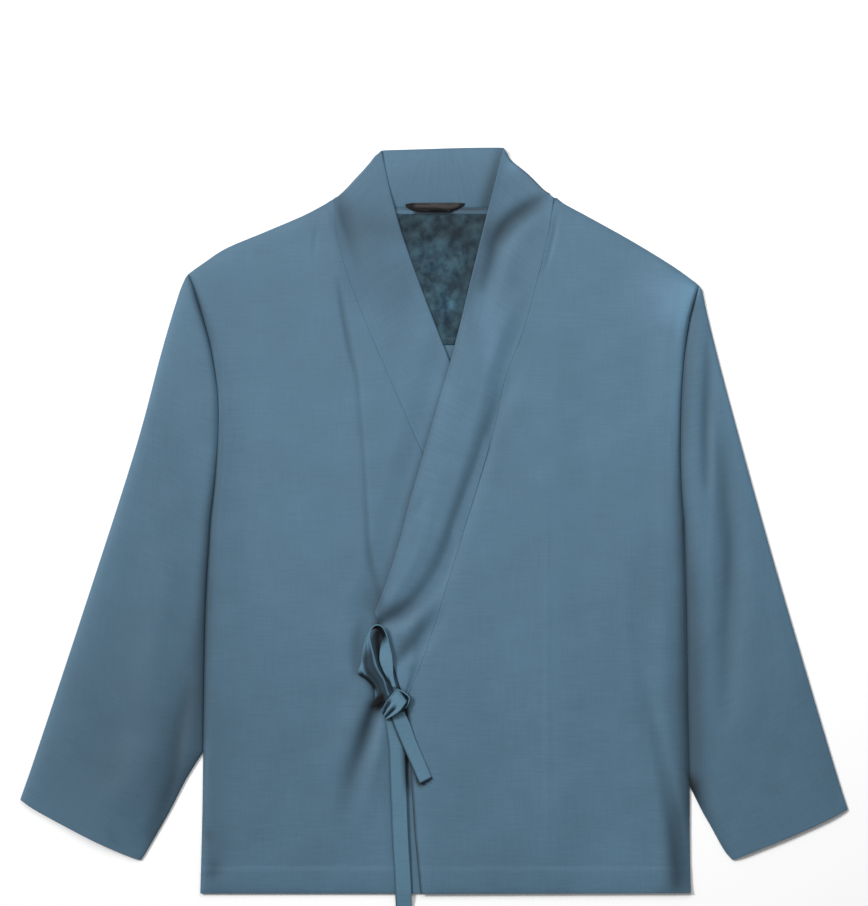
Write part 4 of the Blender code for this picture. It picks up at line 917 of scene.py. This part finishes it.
def yoke_lining():
    """Crinkled satin lining of the upper back, seen through the neck, with its narrow hem."""
    shares = edged(LINING_ROWS, LINING_LENGTH, True, True)
    left, right = along(LINING_SIDE_RIGHT, shares), along(LINING_SIDE_LEFT, shares)
    plan = patch(left, right, LINING_TOP, LINING_HEM, shares_across(left, right, LINING_COLUMNS))
    x, y = plan[..., 0], plan[..., 1]
    crinkled = ease(579, 585, y) * drift(x, y, 0.22, 16, 11)
    top = LINING_BOTTOM + LINING_CLOTH + crinkled + 0.25 * fade(577.5, 579, y)
    return panel("yoke_lining_satin", plan, top, LINING_CLOTH, LINING_BOTTOM, LOOK["lining"])


def neck_tape():
    """Narrow strip over the back neck seam, above the lining."""
    top = moved_aside(along(NECK_SEAM[1:-1], edged(TAPE_ROWS, TAPE_LENGTH, True, True)), -0.5)
    low = np.column_stack([top[:, 0], np.full(len(top), LINING_TOP[0][1] + SEAM_GAP)])
    across = np.array([0, 0.04, 0.15, 0.35, 0.55, 0.75, 0.88, 0.96, 1])[:, None]
    plan = np.array([start + (stop - start) * across for start, stop in zip(top, low)])
    height = LINING_BOTTOM + LINING_CLOTH + 0.25 * np.sin(np.pi * across[:, 0]) * np.ones((len(plan), 1))
    x, y = plan[..., 0], plan[..., 1]
    # Painted shade: a painted shadow under the hanger, painted shade along the tape's upper edge by the seam,
    # and the tape darker towards the wearer's left
    hanger_shadow = ease(-36, -30, x) * fade(4, 12, x) * bell(y, 710.5, 2.4)
    seam_shade = ease(712.0, 713.6, y) * (1 - 0.35 * fade(-46, -36, x))
    tone = (1 - 0.50 * seam_shade) * (1 - 0.85 * hanger_shadow) * (1 - 0.28 * ease(-36, 10, x))
    return panel("neck_tape_cloth", plan, height, LINING_CLOTH, LINING_BOTTOM, LOOK["neck"], tone=tone)


def after_turn(x, y, start, stop, level):
    """The collar's height as it comes down from the turned-over edge."""
    return level + (2 * TURN_MIDDLE - level) * beside(x, y, [start, stop], 14)


def under_collar_top(x, y, across):
    """Upper face of the under collar."""
    shown = shown_share(x, y)
    rolled = 1.8 * ease(540, 600, y) * fade(670, 705, y) * np.exp(-COLLAR_WIDTH * across / 12)
    rolled = rolled - 0.7 * ease(690, 725, y) * np.exp(-COLLAR_WIDTH * across / 18)
    tilted = ease(600, 680, y) * (3.0 * across - 0.6)
    raised = 2.0 - 0.3 * across + tilted - rolled + folded(x, y, UNDER_FOLDS) + drift(x, y, 0.1, 50, 7)
    level = UNDER_COLLAR_HIDDEN + shown * raised
    level = at_least(level, UNDER_COLLAR_HIDDEN)
    return after_turn(x, y, UNDER_EDGE[0], UNDER_SEAM[0], level)


def top_collar_top(x, y, across):
    """Upper face of the top collar."""
    crossing = fade(590, 640, y)
    low = fade(310, 360, y)
    bulge = 0.3 + crossing * (3.3 - 1.9 * low)
    from_edge, from_seam = COLLAR_WIDTH * across, COLLAR_WIDTH * (1 - across)
    level = 6.4 + 1.3 * crossing + bulge * ease(4, 26, from_seam) * (1 - 0.5 * np.exp(-from_edge / 14))
    level = level + 2.2 * (1 - crossing) * np.exp(-from_edge / 12)
    level = level + folded(x, y, TOP_FOLDS) + drift(x, y, 0.1, 50, 9)
    level = at_least(level, 4.5 + 0.8 * crossing + 1.1 * in_under_band(x, y))
    return after_turn(x, y, TOP_EDGE[0], TOP_SEAM[0], level)


def collar_stretch(edge, seam, across, height):
    """Stations of the collar where it lies outside up."""
    plan = edge[:, None] + across[:, None] * (seam - edge)[:, None]
    return list(with_height(plan, height(plan[..., 0], plan[..., 1], across)))


def outward_of(edge, seam, sign):
    """The direction out of the jacket, square to a turned-over edge."""
    ahead = np.subtract(seam, edge)
    return sign * np.array([-ahead[1], ahead[0]]) / np.linalg.norm(ahead)


def turned_over(edge, seam, sign, across, sweep, bulge):
    """Stations of the collar through the half-round where it turns over at the neck side."""
    outward = outward_of(edge, seam, sign)
    line = edge + (seam - edge) * across[:, None]
    return [with_height(line + outward * bulge * np.cos(angle), TURN_MIDDLE * (1 + np.sin(angle)))
            for angle in sweep]


def drawn_in(plan, edge, seam, sign, depths):
    """A folded neck edge, slightly hollow between its corner and the shoulder."""
    step, outward = np.subtract(seam, edge), outward_of(edge, seam, sign)
    share = np.clip((plan - edge) @ step / (step @ step), 0, 1)
    near = np.exp(-np.abs((plan - edge) @ outward) / 8)
    return plan - (np.interp(share, *np.transpose(depths)) * near)[..., None] * outward


def collar_band():
    """The whole collar: hidden end, under front, back neck, top front and slanted end."""
    across = edged(COLLAR_COLUMNS, COLLAR_WIDTH, True, True)
    under_seam = beside_seam(seam_rows(UNDER_SEAM), SEAM_LINE / 2)
    top_seam = beside_seam(seam_rows(TOP_SEAM, TOP_SEAM_END), -SEAM_LINE / 2)
    under_edge, top_edge = seam_rows(UNDER_EDGE, UNDER_END), seam_rows(TOP_EDGE, TOP_EDGE_END)
    sweep = np.radians(np.linspace(75, -75, 11))
    face = collar_stretch(under_edge[::-1], under_seam[::-1], across, under_collar_top)
    face += turned_over(under_edge[0], under_seam[0], -1, across, sweep, 0.5)
    shares = evenly(NECK_STATIONS)
    back_edge = along(COLLAR_BACK_EDGE, shares)
    back_seam = moved_aside(along(NECK_SEAM, shares), SEAM_GAP / 2)
    back_seam[0], back_seam[-1] = under_seam[0], top_seam[0]
    for share, edge, seam in zip(shares, back_edge, back_seam):
        past_under = np.maximum(BACK_NECK_LENGTH * (share - 0.28 * across), 0)
        past_top = np.maximum(BACK_NECK_LENGTH * (1 - share - 0.30 * across), 0)
        shown = (1 - np.exp(-past_under / 3)) * (1 - np.exp(-past_top / 6))
        rise = BACK_COLLAR_LOW + (BACK_COLLAR_RISE - BACK_COLLAR_LOW) * shown
        rise = rise * np.sin(np.pi * across) ** 0.6
        face.append(with_height(edge + (seam - edge) * across[:, None], rise))
    face += turned_over(top_edge[0], top_seam[0], 1, across, -sweep, 0.1)
    face += collar_stretch(top_edge, top_seam, across, top_collar_top)
    face = np.array(face)
    face[..., :2] = drawn_in(face[..., :2], UNDER_EDGE[0], UNDER_SEAM[0], -1, RIGHT_NECK_HOLLOW)
    face[..., :2] = drawn_in(face[..., :2], TOP_EDGE[0], TOP_SEAM[0], 1, LEFT_NECK_HOLLOW)
    return shell("collar_cloth", face, COLLAR_CLOTH, LOOK["collar"], sharp=0.8 * ease(0.9, 0.95, across))


def round_fold(gone):
    """0 at a folded edge, 1 where the cloth lies flat."""
    return np.sqrt(1 - (1 - np.clip(gone / FOLD_RADIUS, 0, 1)) ** 2)


def sleeve(name, armhole, side, fold_line, end, cuff, folds, wide, seed):
    """A flattened tube from the armhole to the cuff."""
    toward = np.sign(armhole[0][0])
    ditch = side_points(armhole, side, end, edged(SLEEVE_END_ROWS, SLEEVE_END_LENGTH, stop=True))
    ditch = moved_aside(ditch, toward * SLEEVE_GAP / 2)
    outer = along(fold_line, edged(len(ditch) - 5, SLEEVE_LENGTH, True, True))
    shares = shares_across(ditch, outer, SLEEVE_COLUMNS, FOLD_STEPS)
    plan = patch(ditch, outer, [tuple(ditch[0]), tuple(outer[0])], cuff[::-1], shares)
    width = np.linalg.norm(outer - ditch, axis=1)[:, None]
    from_ditch, from_fold = shares * width, (1 - shares) * width
    rolled = np.minimum(round_fold(from_ditch), round_fold(from_fold))
    x, y = plan[..., 0], plan[..., 1]
    low = fade(170, 430, y)
    steep = (1 - 0.55 * low) * (1 - np.exp(-from_ditch / 3.5))
    gentle = 0.55 * low * (1 - np.exp(-(from_ditch / (4 + wide)) ** 1.5))
    puff = (steep + gentle) * (1 - np.exp(-from_fold / 9))
    puff = puff * (1 + 0.06 * wide * low * bell(from_ditch, 48, 30))
    puff = puff * (1 - 0.45 * ease(0.88, 1.0, evenly(len(plan) - 1)[:, None]))
    raised = SLEEVE_PUFF * puff + puff * (folded(x, y, folds) + drift(x, y, 0.2, 70, seed))
    middle = SLEEVE_LOW / 2
    front = with_height(plan, at_least(middle + middle * rolled + raised, middle))
    under = with_height(plan, middle - middle * rolled)[:, -2:0:-1]
    face = np.concatenate([front, under], axis=1)
    return shell(name, face, np.minimum(CLOTH, 0.1 * width), LOOK["body"], closed=True)


def ribbon(name, stations, count, columns, tones, pleats=None, with_jacket_shade=False, thickness=TIE_CLOTH, look="tie"):
    """A strip given by its two long edges, with its own pleats and painted tones, and the jacket's painted
    light and shade where asked.
    """
    table = np.array(stations, float)
    shares = edged(count, length_of(table[:, :3]), True, True)
    first, second = along(table[:, :3], shares), along(table[:, 3:], shares)
    across = edged(columns, np.linalg.norm(second - first, axis=1).mean(), True, True)
    middle = first[:, None] + (second - first)[:, None] * across[:, None]
    normal = normals_of(middle, False)
    drawn = rounded_over(middle, thickness / 2)[..., None]
    raised = 0 if pleats is None else pleats(shares[:, None], across)[..., None]
    upper = middle + normal * (thickness / 2 - drawn + raised)
    lower = middle - normal * (thickness / 2 - drawn)
    tone = tones(shares[:, None], across) * np.ones(middle.shape[:2])
    if with_jacket_shade:
        tone = tone * painted_light_and_shade(middle[..., 0], middle[..., 1])
    return cloth_piece(name, upper, lower, cut_of(middle), LOOK[look], tone=tone)


def wrap_gathers(along_it, across):
    """How far the knot's wrap is gathered into pleats: at its end by the tails, gone at the other."""
    return fade(0.36, 0.62, along_it) * np.sin(across * 13.5 + 0.9 + 2.2 * along_it)


def wrap_pleats(along_it, across):
    """Height of the gathers of the knot's wrap."""
    return 1.5 * wrap_gathers(along_it, across) * ease(0.0, 0.15, along_it)


def wrap_light_and_shade(along_it, across):
    """Painted shade in the valleys between the gathers of the knot's wrap, and painted light on its upper
    face.
    """
    valleys = np.clip(-1.2 * wrap_gathers(along_it, across), 0, 1)
    return 1.0 + 0.12 * ease(0.45, 0.6, along_it) - 0.92 * valleys


def short_tail_shade(along_it, across):
    """Painted shade on the short tail: a painted shadow along its left border and at its cut end, and shade
    at its root.
    """
    border = fade(0.02, 0.13, across) + ease(0.965, 0.985, along_it)
    return (1 - 0.85 * np.clip(border, 0, 1)) * (0.75 + 0.25 * ease(0.0, 0.12, along_it))


def long_tail_shade(along_it, across):
    """The long tail's left border, darkened with painted shadow."""
    return 1 - 0.62 * fade(0.02, 0.11, across) * (0.6 + 0.4 * ease(0.0, 0.2, along_it))


def turn_shade(along_it, across):
    """Painted shade on the turned root of the tail, light on its upper edge only."""
    return 0.15 + 0.95 * ease(0.75, 0.95, across) * np.ones_like(along_it)


def hanger_shade(along_it, across):
    """Painted shade on the hanger's ends and its lower border."""
    ends = fade(0.12, 0.2, along_it) + ease(0.86, 0.94, along_it)
    lower = ease(0.42, 0.6, across - 0.12 * ease(0.5, 0.7, along_it))
    return (1.1 - 0.95 * ends) * (1 - 0.94 * lower)


def loop_shade(along_it, across):
    """Painted shade on the loop: its outer face turned from the light, streaks, its dark hollow, its root by
    the knot and under its lower edge; its rim stays light.
    """
    lit_corner = 0.24 * bell(along_it, 0.27, 0.05)
    outer = fade(0.33, 0.44, along_it) * ease(0.05, 0.22, across - lit_corner) * fade(0.88, 0.98, across)
    streaks = fade(0.40, 0.50, along_it) * (0.5 + 0.5 * np.cos(14 * across)) * fade(0.8, 0.9, across)
    hollow = ease(0.51, 0.54, along_it) * fade(0.67, 0.76, along_it + 0.05 * across)
    hollow = hollow * fade(0.88, 0.95, across)
    near_knot = 0.95 * fade(0.045, 0.09, along_it) * fade(0.6, 0.8, across)
    near_knot = near_knot + 0.9 * ease(0.90, 0.96, along_it) * fade(0.2, 0.5, across)
    under_edge = ease(0.09, 0.13, along_it) * fade(0.25, 0.28, along_it) * fade(0.19, 0.27, across)
    shaded = (1 - 0.75 * outer) * (1 - 0.4 * streaks) * (1 - 0.97 * hollow)
    return shaded * (1 - near_knot) * (1 - 0.95 * under_edge)


def squared(value):
    """A sine or cosine bent so that a circle nears a square."""
    return np.sign(value) * np.abs(value) ** 0.6


def knot_core():
    """The soft body of the knot under its wrap, painted dark as the shade inside the knot."""
    rows, columns = KNOT_ROWS, KNOT_COLUMNS
    lift = np.linspace(-0.46 * np.pi, 0.46 * np.pi, rows)[:, None]
    turn = np.linspace(0, 2 * np.pi, columns, endpoint=False)[None, :]
    ring = np.cos(lift) ** 0.55
    x, y = KNOT_HALF[0] * ring * squared(np.cos(turn)), KNOT_HALF[1] * ring * squared(np.sin(turn))
    z = KNOT_HALF[2] * np.sign(np.sin(lift)) * np.abs(np.sin(lift)) ** 0.8
    creased = 1 - 0.07 * bell(x + 0.5 * y, 0, 1.6) - 0.05 * bell(x - 0.8 * y, 4, 1.3)
    turned_x = creased * (x * np.cos(KNOT_TURN) - y * np.sin(KNOT_TURN))
    turned_y = creased * (x * np.sin(KNOT_TURN) + y * np.cos(KNOT_TURN))
    face = np.stack([turned_x, turned_y, z * np.ones_like(turn) * creased], axis=2) + KNOT_MIDDLE
    poles = np.vstack([face[0].mean(axis=0), face[-1].mean(axis=0)])
    vertices = np.vstack([face.reshape(-1, 3), poles])
    faces = grid_faces(rows, columns, True).tolist()
    low, high, last = rows * columns, rows * columns + 1, (rows - 1) * columns
    for column in range(columns):
        following = (column + 1) % columns
        faces.append((low, following, column))
        faces.append((high, last + column, last + following))
    return mesh_piece("knot_core", vertices, faces, vertices[:, :2], LOOK["tie"], KNOT_CORE_SHADE)


def hem_stitches():
    """Short sunk threads in a row along the lining's hem."""
    rows, sides = STITCH_ROWS, STITCH_SIDES
    middles = np.arange(LINING_HEM[0][0] + 5.6, LINING_HEM[-1][0] - 4.5, STITCH_STEP)[:, None, None]
    step = np.linspace(-1, 1, rows)[:, None]
    angle = np.linspace(0, 2 * np.pi, sides, endpoint=False)
    girth = STITCH_THREAD * np.sqrt(np.maximum(1 - step ** 4, 0.02))
    height = LINING_BOTTOM + LINING_CLOTH + 0.15 + girth * (np.sin(angle) - 0.2 - 0.5 * step ** 2)
    places = middles + step * STITCH_LENGTH / 2, STITCHES_Y + girth * np.cos(angle), height
    vertices = np.stack(np.broadcast_arrays(*places), axis=-1).reshape(-1, 3)
    ends = [list(range(sides)), list(range((rows - 1) * sides, rows * sides))]
    faces = [[first + corner for corner in face] for first in range(0, len(vertices), rows * sides)
             for face in grid_faces(rows, sides, True).tolist() + ends]
    return mesh_piece("lining_hem_stitches", vertices, faces, vertices[:, :2], LOOK["thread"])


def wired(made, **settings):
    """A node with its own settings, its sockets given plain values or linked to other sockets."""
    for key, value in settings.items():
        if key not in made.inputs:
            setattr(made, key, value)
        elif isinstance(value, bpy.types.NodeSocket):
            made.id_data.links.new(value, made.inputs[key])
        else:
            made.inputs[key].default_value = value
    return made


def add_node(tree, kind, **settings):
    """A new node of one kind."""
    return wired(tree.nodes.new("ShaderNode" + kind), **settings)


def stretched_noise(tree, place, scales, seed, detail=3.0, rough=0.6):
    """Noise between 0 and 1 on the cut cloth, drawn out by its own scale in each of the two directions."""
    moved = (seed, seed * 0.7, seed * 0.3)
    mapping = add_node(tree, "Mapping", Vector=place, Scale=(*scales, 1.0), Location=moved)
    made = add_node(tree, "TexNoise", Vector=mapping.outputs[0], Scale=1.0, Detail=detail, Roughness=rough)
    return made.outputs["Fac"]


def maths(tree, operation, first, second):
    """Two values or sockets put together."""
    made = add_node(tree, "Math", operation=operation)
    for socket, value in zip(made.inputs, (first, second)):
        if isinstance(value, float):
            socket.default_value = value
        else:
            tree.links.new(value, socket)
    return made.outputs[0]


def ranged(tree, value, **limits):
    """A value mapped from one range to another."""
    return add_node(tree, "MapRange", Value=value, **limits).outputs[0]


def weave_height(tree, place):
    """Threads over and under in both directions."""
    waves = [add_node(tree, "TexWave", Vector=place, bands_direction=direction,
                      Scale=WAVE_LENGTH / THREAD_PITCH, Distortion=0.6).outputs["Fac"]
             for direction in ("X", "Y")]
    return maths(tree, "MULTIPLY", *waves)


def new_material(name, **values):
    """A material, its nodes and its shader with plain values on the shader's own sockets."""
    made = bpy.data.materials.new(name)
    made.use_nodes = True
    return made, made.node_tree, wired(made.node_tree.nodes["Principled BSDF"], **values)


def finish_material(tree, shader, tone, colours, height, strength, distance, shade=None):
    """Links the tone to the colour and the height to the relief."""
    mix = add_node(tree, "Mix", data_type="RGBA")
    tree.links.new(tone, mix.inputs[0])
    for socket, colour in zip((mix.inputs[6], mix.inputs[7]), colours):
        socket.default_value = (*colour, 1.0)
    colour = mix.outputs[2]
    if shade is not None:
        colour = add_node(tree, "VectorMath", operation="SCALE", Vector=colour, Scale=shade).outputs[0]
    bump = add_node(tree, "Bump", Strength=strength, Distance=distance, Height=height)
    wired(shader, **{"Base Color": colour, "Normal": bump.outputs["Normal"]})


def cut_and_tone(tree):
    """The place on the cut cloth and the tone that a piece keeps at each point."""
    kept = add_node(tree, "Attribute", attribute_name="cut").outputs["Vector"]
    parts = add_node(tree, "SeparateXYZ", Vector=kept).outputs
    return add_node(tree, "CombineXYZ", X=parts[0], Y=parts[1]).outputs[0], parts[2]


def cloth_look(name, colour, spread, roughness, sheen, shine, relief, seed):
    """Matte satin weave with slubs along both threads and slow changes of tone."""
    made, tree, shader = new_material(name, **{
        "Sheen Weight": sheen, "Sheen Roughness": 0.45, "Sheen Tint": (0.75, 0.88, 1.0, 1.0),
        "Specular IOR Level": shine})
    place, shade = cut_and_tone(tree)
    weft = stretched_noise(tree, place, WEFT_SCALE, seed)
    warp = stretched_noise(tree, place, WARP_SCALE, seed + 3.1)
    cloud = stretched_noise(tree, place, CLOUD_SCALE, seed + 5.7, rough=0.55)
    slubs = maths(tree, "ADD", maths(tree, "MULTIPLY", weft, 0.45), maths(tree, "MULTIPLY", warp, 0.25))
    tone = maths(tree, "ADD", slubs, maths(tree, "MULTIPLY", cloud, 0.30))
    contrast = ranged(tree, tone, **{"From Min": 0.34, "From Max": 0.66})
    wired(shader, Roughness=ranged(tree, weft, **{"To Min": roughness - 0.05, "To Max": roughness + 0.05}))
    threads = maths(tree, "MULTIPLY", weave_height(tree, place), 0.5 * relief)
    height = maths(tree, "ADD", threads, maths(tree, "MULTIPLY", slubs, 0.9))
    colours = [[value * share for value in colour] for share in (1 - spread, 1 + spread)]
    finish_material(tree, shader, contrast, colours, height, 0.35, 0.0002, shade)
    return made


def lining_look():
    """Dark satin, mottled where it is crinkled."""
    made, tree, shader = new_material("lining_satin", **{"Roughness": 0.5, "Specular IOR Level": 0.2})
    place, shade = cut_and_tone(tree)
    blots = stretched_noise(tree, place, BLOT_SCALE, 1.3, rough=0.62)
    fine = stretched_noise(tree, place, FINE_BLOT_SCALE, 4.2, 2.0, 0.5)
    tone = maths(tree, "ADD", maths(tree, "MULTIPLY", blots, 0.8), maths(tree, "MULTIPLY", fine, 0.2))
    contrast = ranged(tree, tone, **{"From Min": 0.38, "From Max": 0.62})
    finish_material(tree, shader, contrast, LINING_COLOURS, tone, 0.6, 0.0012, shade)
    return made


def plain_look(name, colour, roughness):
    """Floor or thread with a faint grain."""
    made, tree, shader = new_material(name, **{"Roughness": roughness, "Specular IOR Level": 0.2})
    place = add_node(tree, "TexCoord").outputs["Object"]
    grain = stretched_noise(tree, place, GRAIN_SCALE, 0.0, 2.0, 0.5)
    colours = [[min(value * share, 1.0) for value in colour] for share in (0.97, 1.03)]
    finish_material(tree, shader, grain, colours, grain, 0.05, 0.0001)
    return made


def placed(name, data):
    """A new object in the scene."""
    made = bpy.data.objects.new(name, data)
    bpy.context.scene.collection.objects.link(made)
    return made


def area_light(name, place, size, power):
    """A soft square light, aimed at the jacket."""
    data = bpy.data.lights.new(name, "AREA")
    data.shape = "RECTANGLE"
    data.size = data.size_y = size
    data.energy = power
    lamp = placed(name, data)
    lamp.location = place
    lamp.rotation_mode = "QUATERNION"
    lamp.rotation_quaternion = (Vector(LIGHT_AIM) - Vector(place)).to_track_quat("-Z", "Y")


def studio():
    """Pale floor, soft light from the upper left, white surroundings and the camera straight above."""
    mesh = bpy.data.meshes.new("floor")
    turn = np.linspace(0, 2 * np.pi, FLOOR_SIDES, endpoint=False)
    rim = [(FLOOR_RADIUS * np.cos(angle), FLOOR_RADIUS * np.sin(angle), FLOOR_TOP) for angle in turn]
    mesh.from_pydata(rim, [], [tuple(range(FLOOR_SIDES))])
    floor = placed("floor", mesh)
    mesh.materials.append(plain_look("floor_white", (0.95, 0.95, 0.95), 0.8))
    world = bpy.data.worlds.new("studio")
    world.use_nodes = True
    background = world.node_tree.nodes["Background"]
    background.inputs["Color"].default_value = (1.0, 1.0, 1.0, 1.0)
    background.inputs["Strength"].default_value = WORLD_LIGHT
    bpy.context.scene.world = world
    area_light("key", KEY_PLACE, KEY_SIZE, KEY_POWER)
    area_light("top", TOP_PLACE, TOP_SIZE, TOP_POWER)
    data = bpy.data.cameras.new("view")
    data.lens = data.sensor_width * CAMERA_HEIGHT / VIEW_HEIGHT
    data.clip_end = 50
    camera = placed("view", data)
    camera.location = (0.0, VIEW_MIDDLE, CAMERA_HEIGHT + 0.005)
    bpy.context.scene.camera = camera
    bpy.context.scene.view_settings.view_transform = "Standard"


LOOK = {name: cloth_look(name + "_cloth", *look, 1.7 * index)
        for index, (name, look) in enumerate(LOOKS.items())}
LOOK["lining"] = lining_look()
LOOK["thread"] = plain_look("thread", (0.10, 0.17, 0.23), 0.6)

back = back_panel()
lining = yoke_lining()
tape = neck_tape()
hanger = ribbon("hanger_tape", HANGER, 60, 8, hanger_shade, thickness=LINING_CLOTH, look="tape")
right_front = front_panel("front_right_cloth", seam_rows(UNDER_SEAM), UNDER_FREE_EDGE,
                          BODY_RIGHT, SHOULDER_RIGHT, under_front_top)
left_front = front_panel("front_left_cloth", seam_rows(TOP_SEAM, TOP_SEAM_END), TOP_FREE_EDGE,
                         BODY_LEFT, SHOULDER_LEFT, top_front_top, 0.85)
collar = collar_band()
right_sleeve = sleeve("sleeve_right_cloth", ARMHOLE_RIGHT, SIDE_RIGHT, SLEEVE_FOLD_RIGHT, SLEEVE_END_RIGHT,
                      CUFF_RIGHT, SLEEVE_FOLDS_RIGHT, 16, 21)
left_sleeve = sleeve("sleeve_left_cloth", ARMHOLE_LEFT, SIDE_LEFT, SLEEVE_FOLD_LEFT, SLEEVE_END_LEFT,
                     CUFF_LEFT, SLEEVE_FOLDS_LEFT, 2, 22)
loop = ribbon("tie_loop_strip", LOOP, 150, 14, loop_shade)
short_tail = ribbon("tie_tail_short_strip", TAIL_SHORT, 60, 12, short_tail_shade)
tail_turn = ribbon("tie_tail_turn_strip", TAIL_TURN, 40, 5, turn_shade)
long_tail = ribbon("tie_tail_long_strip", TAIL_LONG, 120, 14, long_tail_shade, with_jacket_shade=True)
wrap = ribbon("knot_wrap", KNOT_WRAP, 70, 30, wrap_light_and_shade, wrap_pleats)
core = knot_core()
hem_thread = hem_stitches()

# Each piece rides on the jacket and stands for its solid, which is hidden
for piece, node, slot in (
        (back, "back", "body_cloth"), (lining, "back_yoke_lining", "lining"),
        (tape, "neck_tape", "body_cloth"), (hanger, "hanger_loop", "tape"),
        (right_front, "front_right", "body_cloth"),
        (left_front, "front_left", "body_cloth"), (collar, "collar", "collar_cloth"),
        (right_sleeve, "sleeve_right", "body_cloth"), (left_sleeve, "sleeve_left", "body_cloth"),
        (loop, "tie_loop", "body_cloth"), (short_tail, "tie_tail_short", "body_cloth"),
        (long_tail, "tie_tail_long", "body_cloth"), (wrap, "tie_knot", "body_cloth"),
        (core, "tie_knot", "body_cloth"), (tail_turn, "tie_knot", "body_cloth")):
    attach(piece, "root")
    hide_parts(node)
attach(hem_thread, "root")

studio()
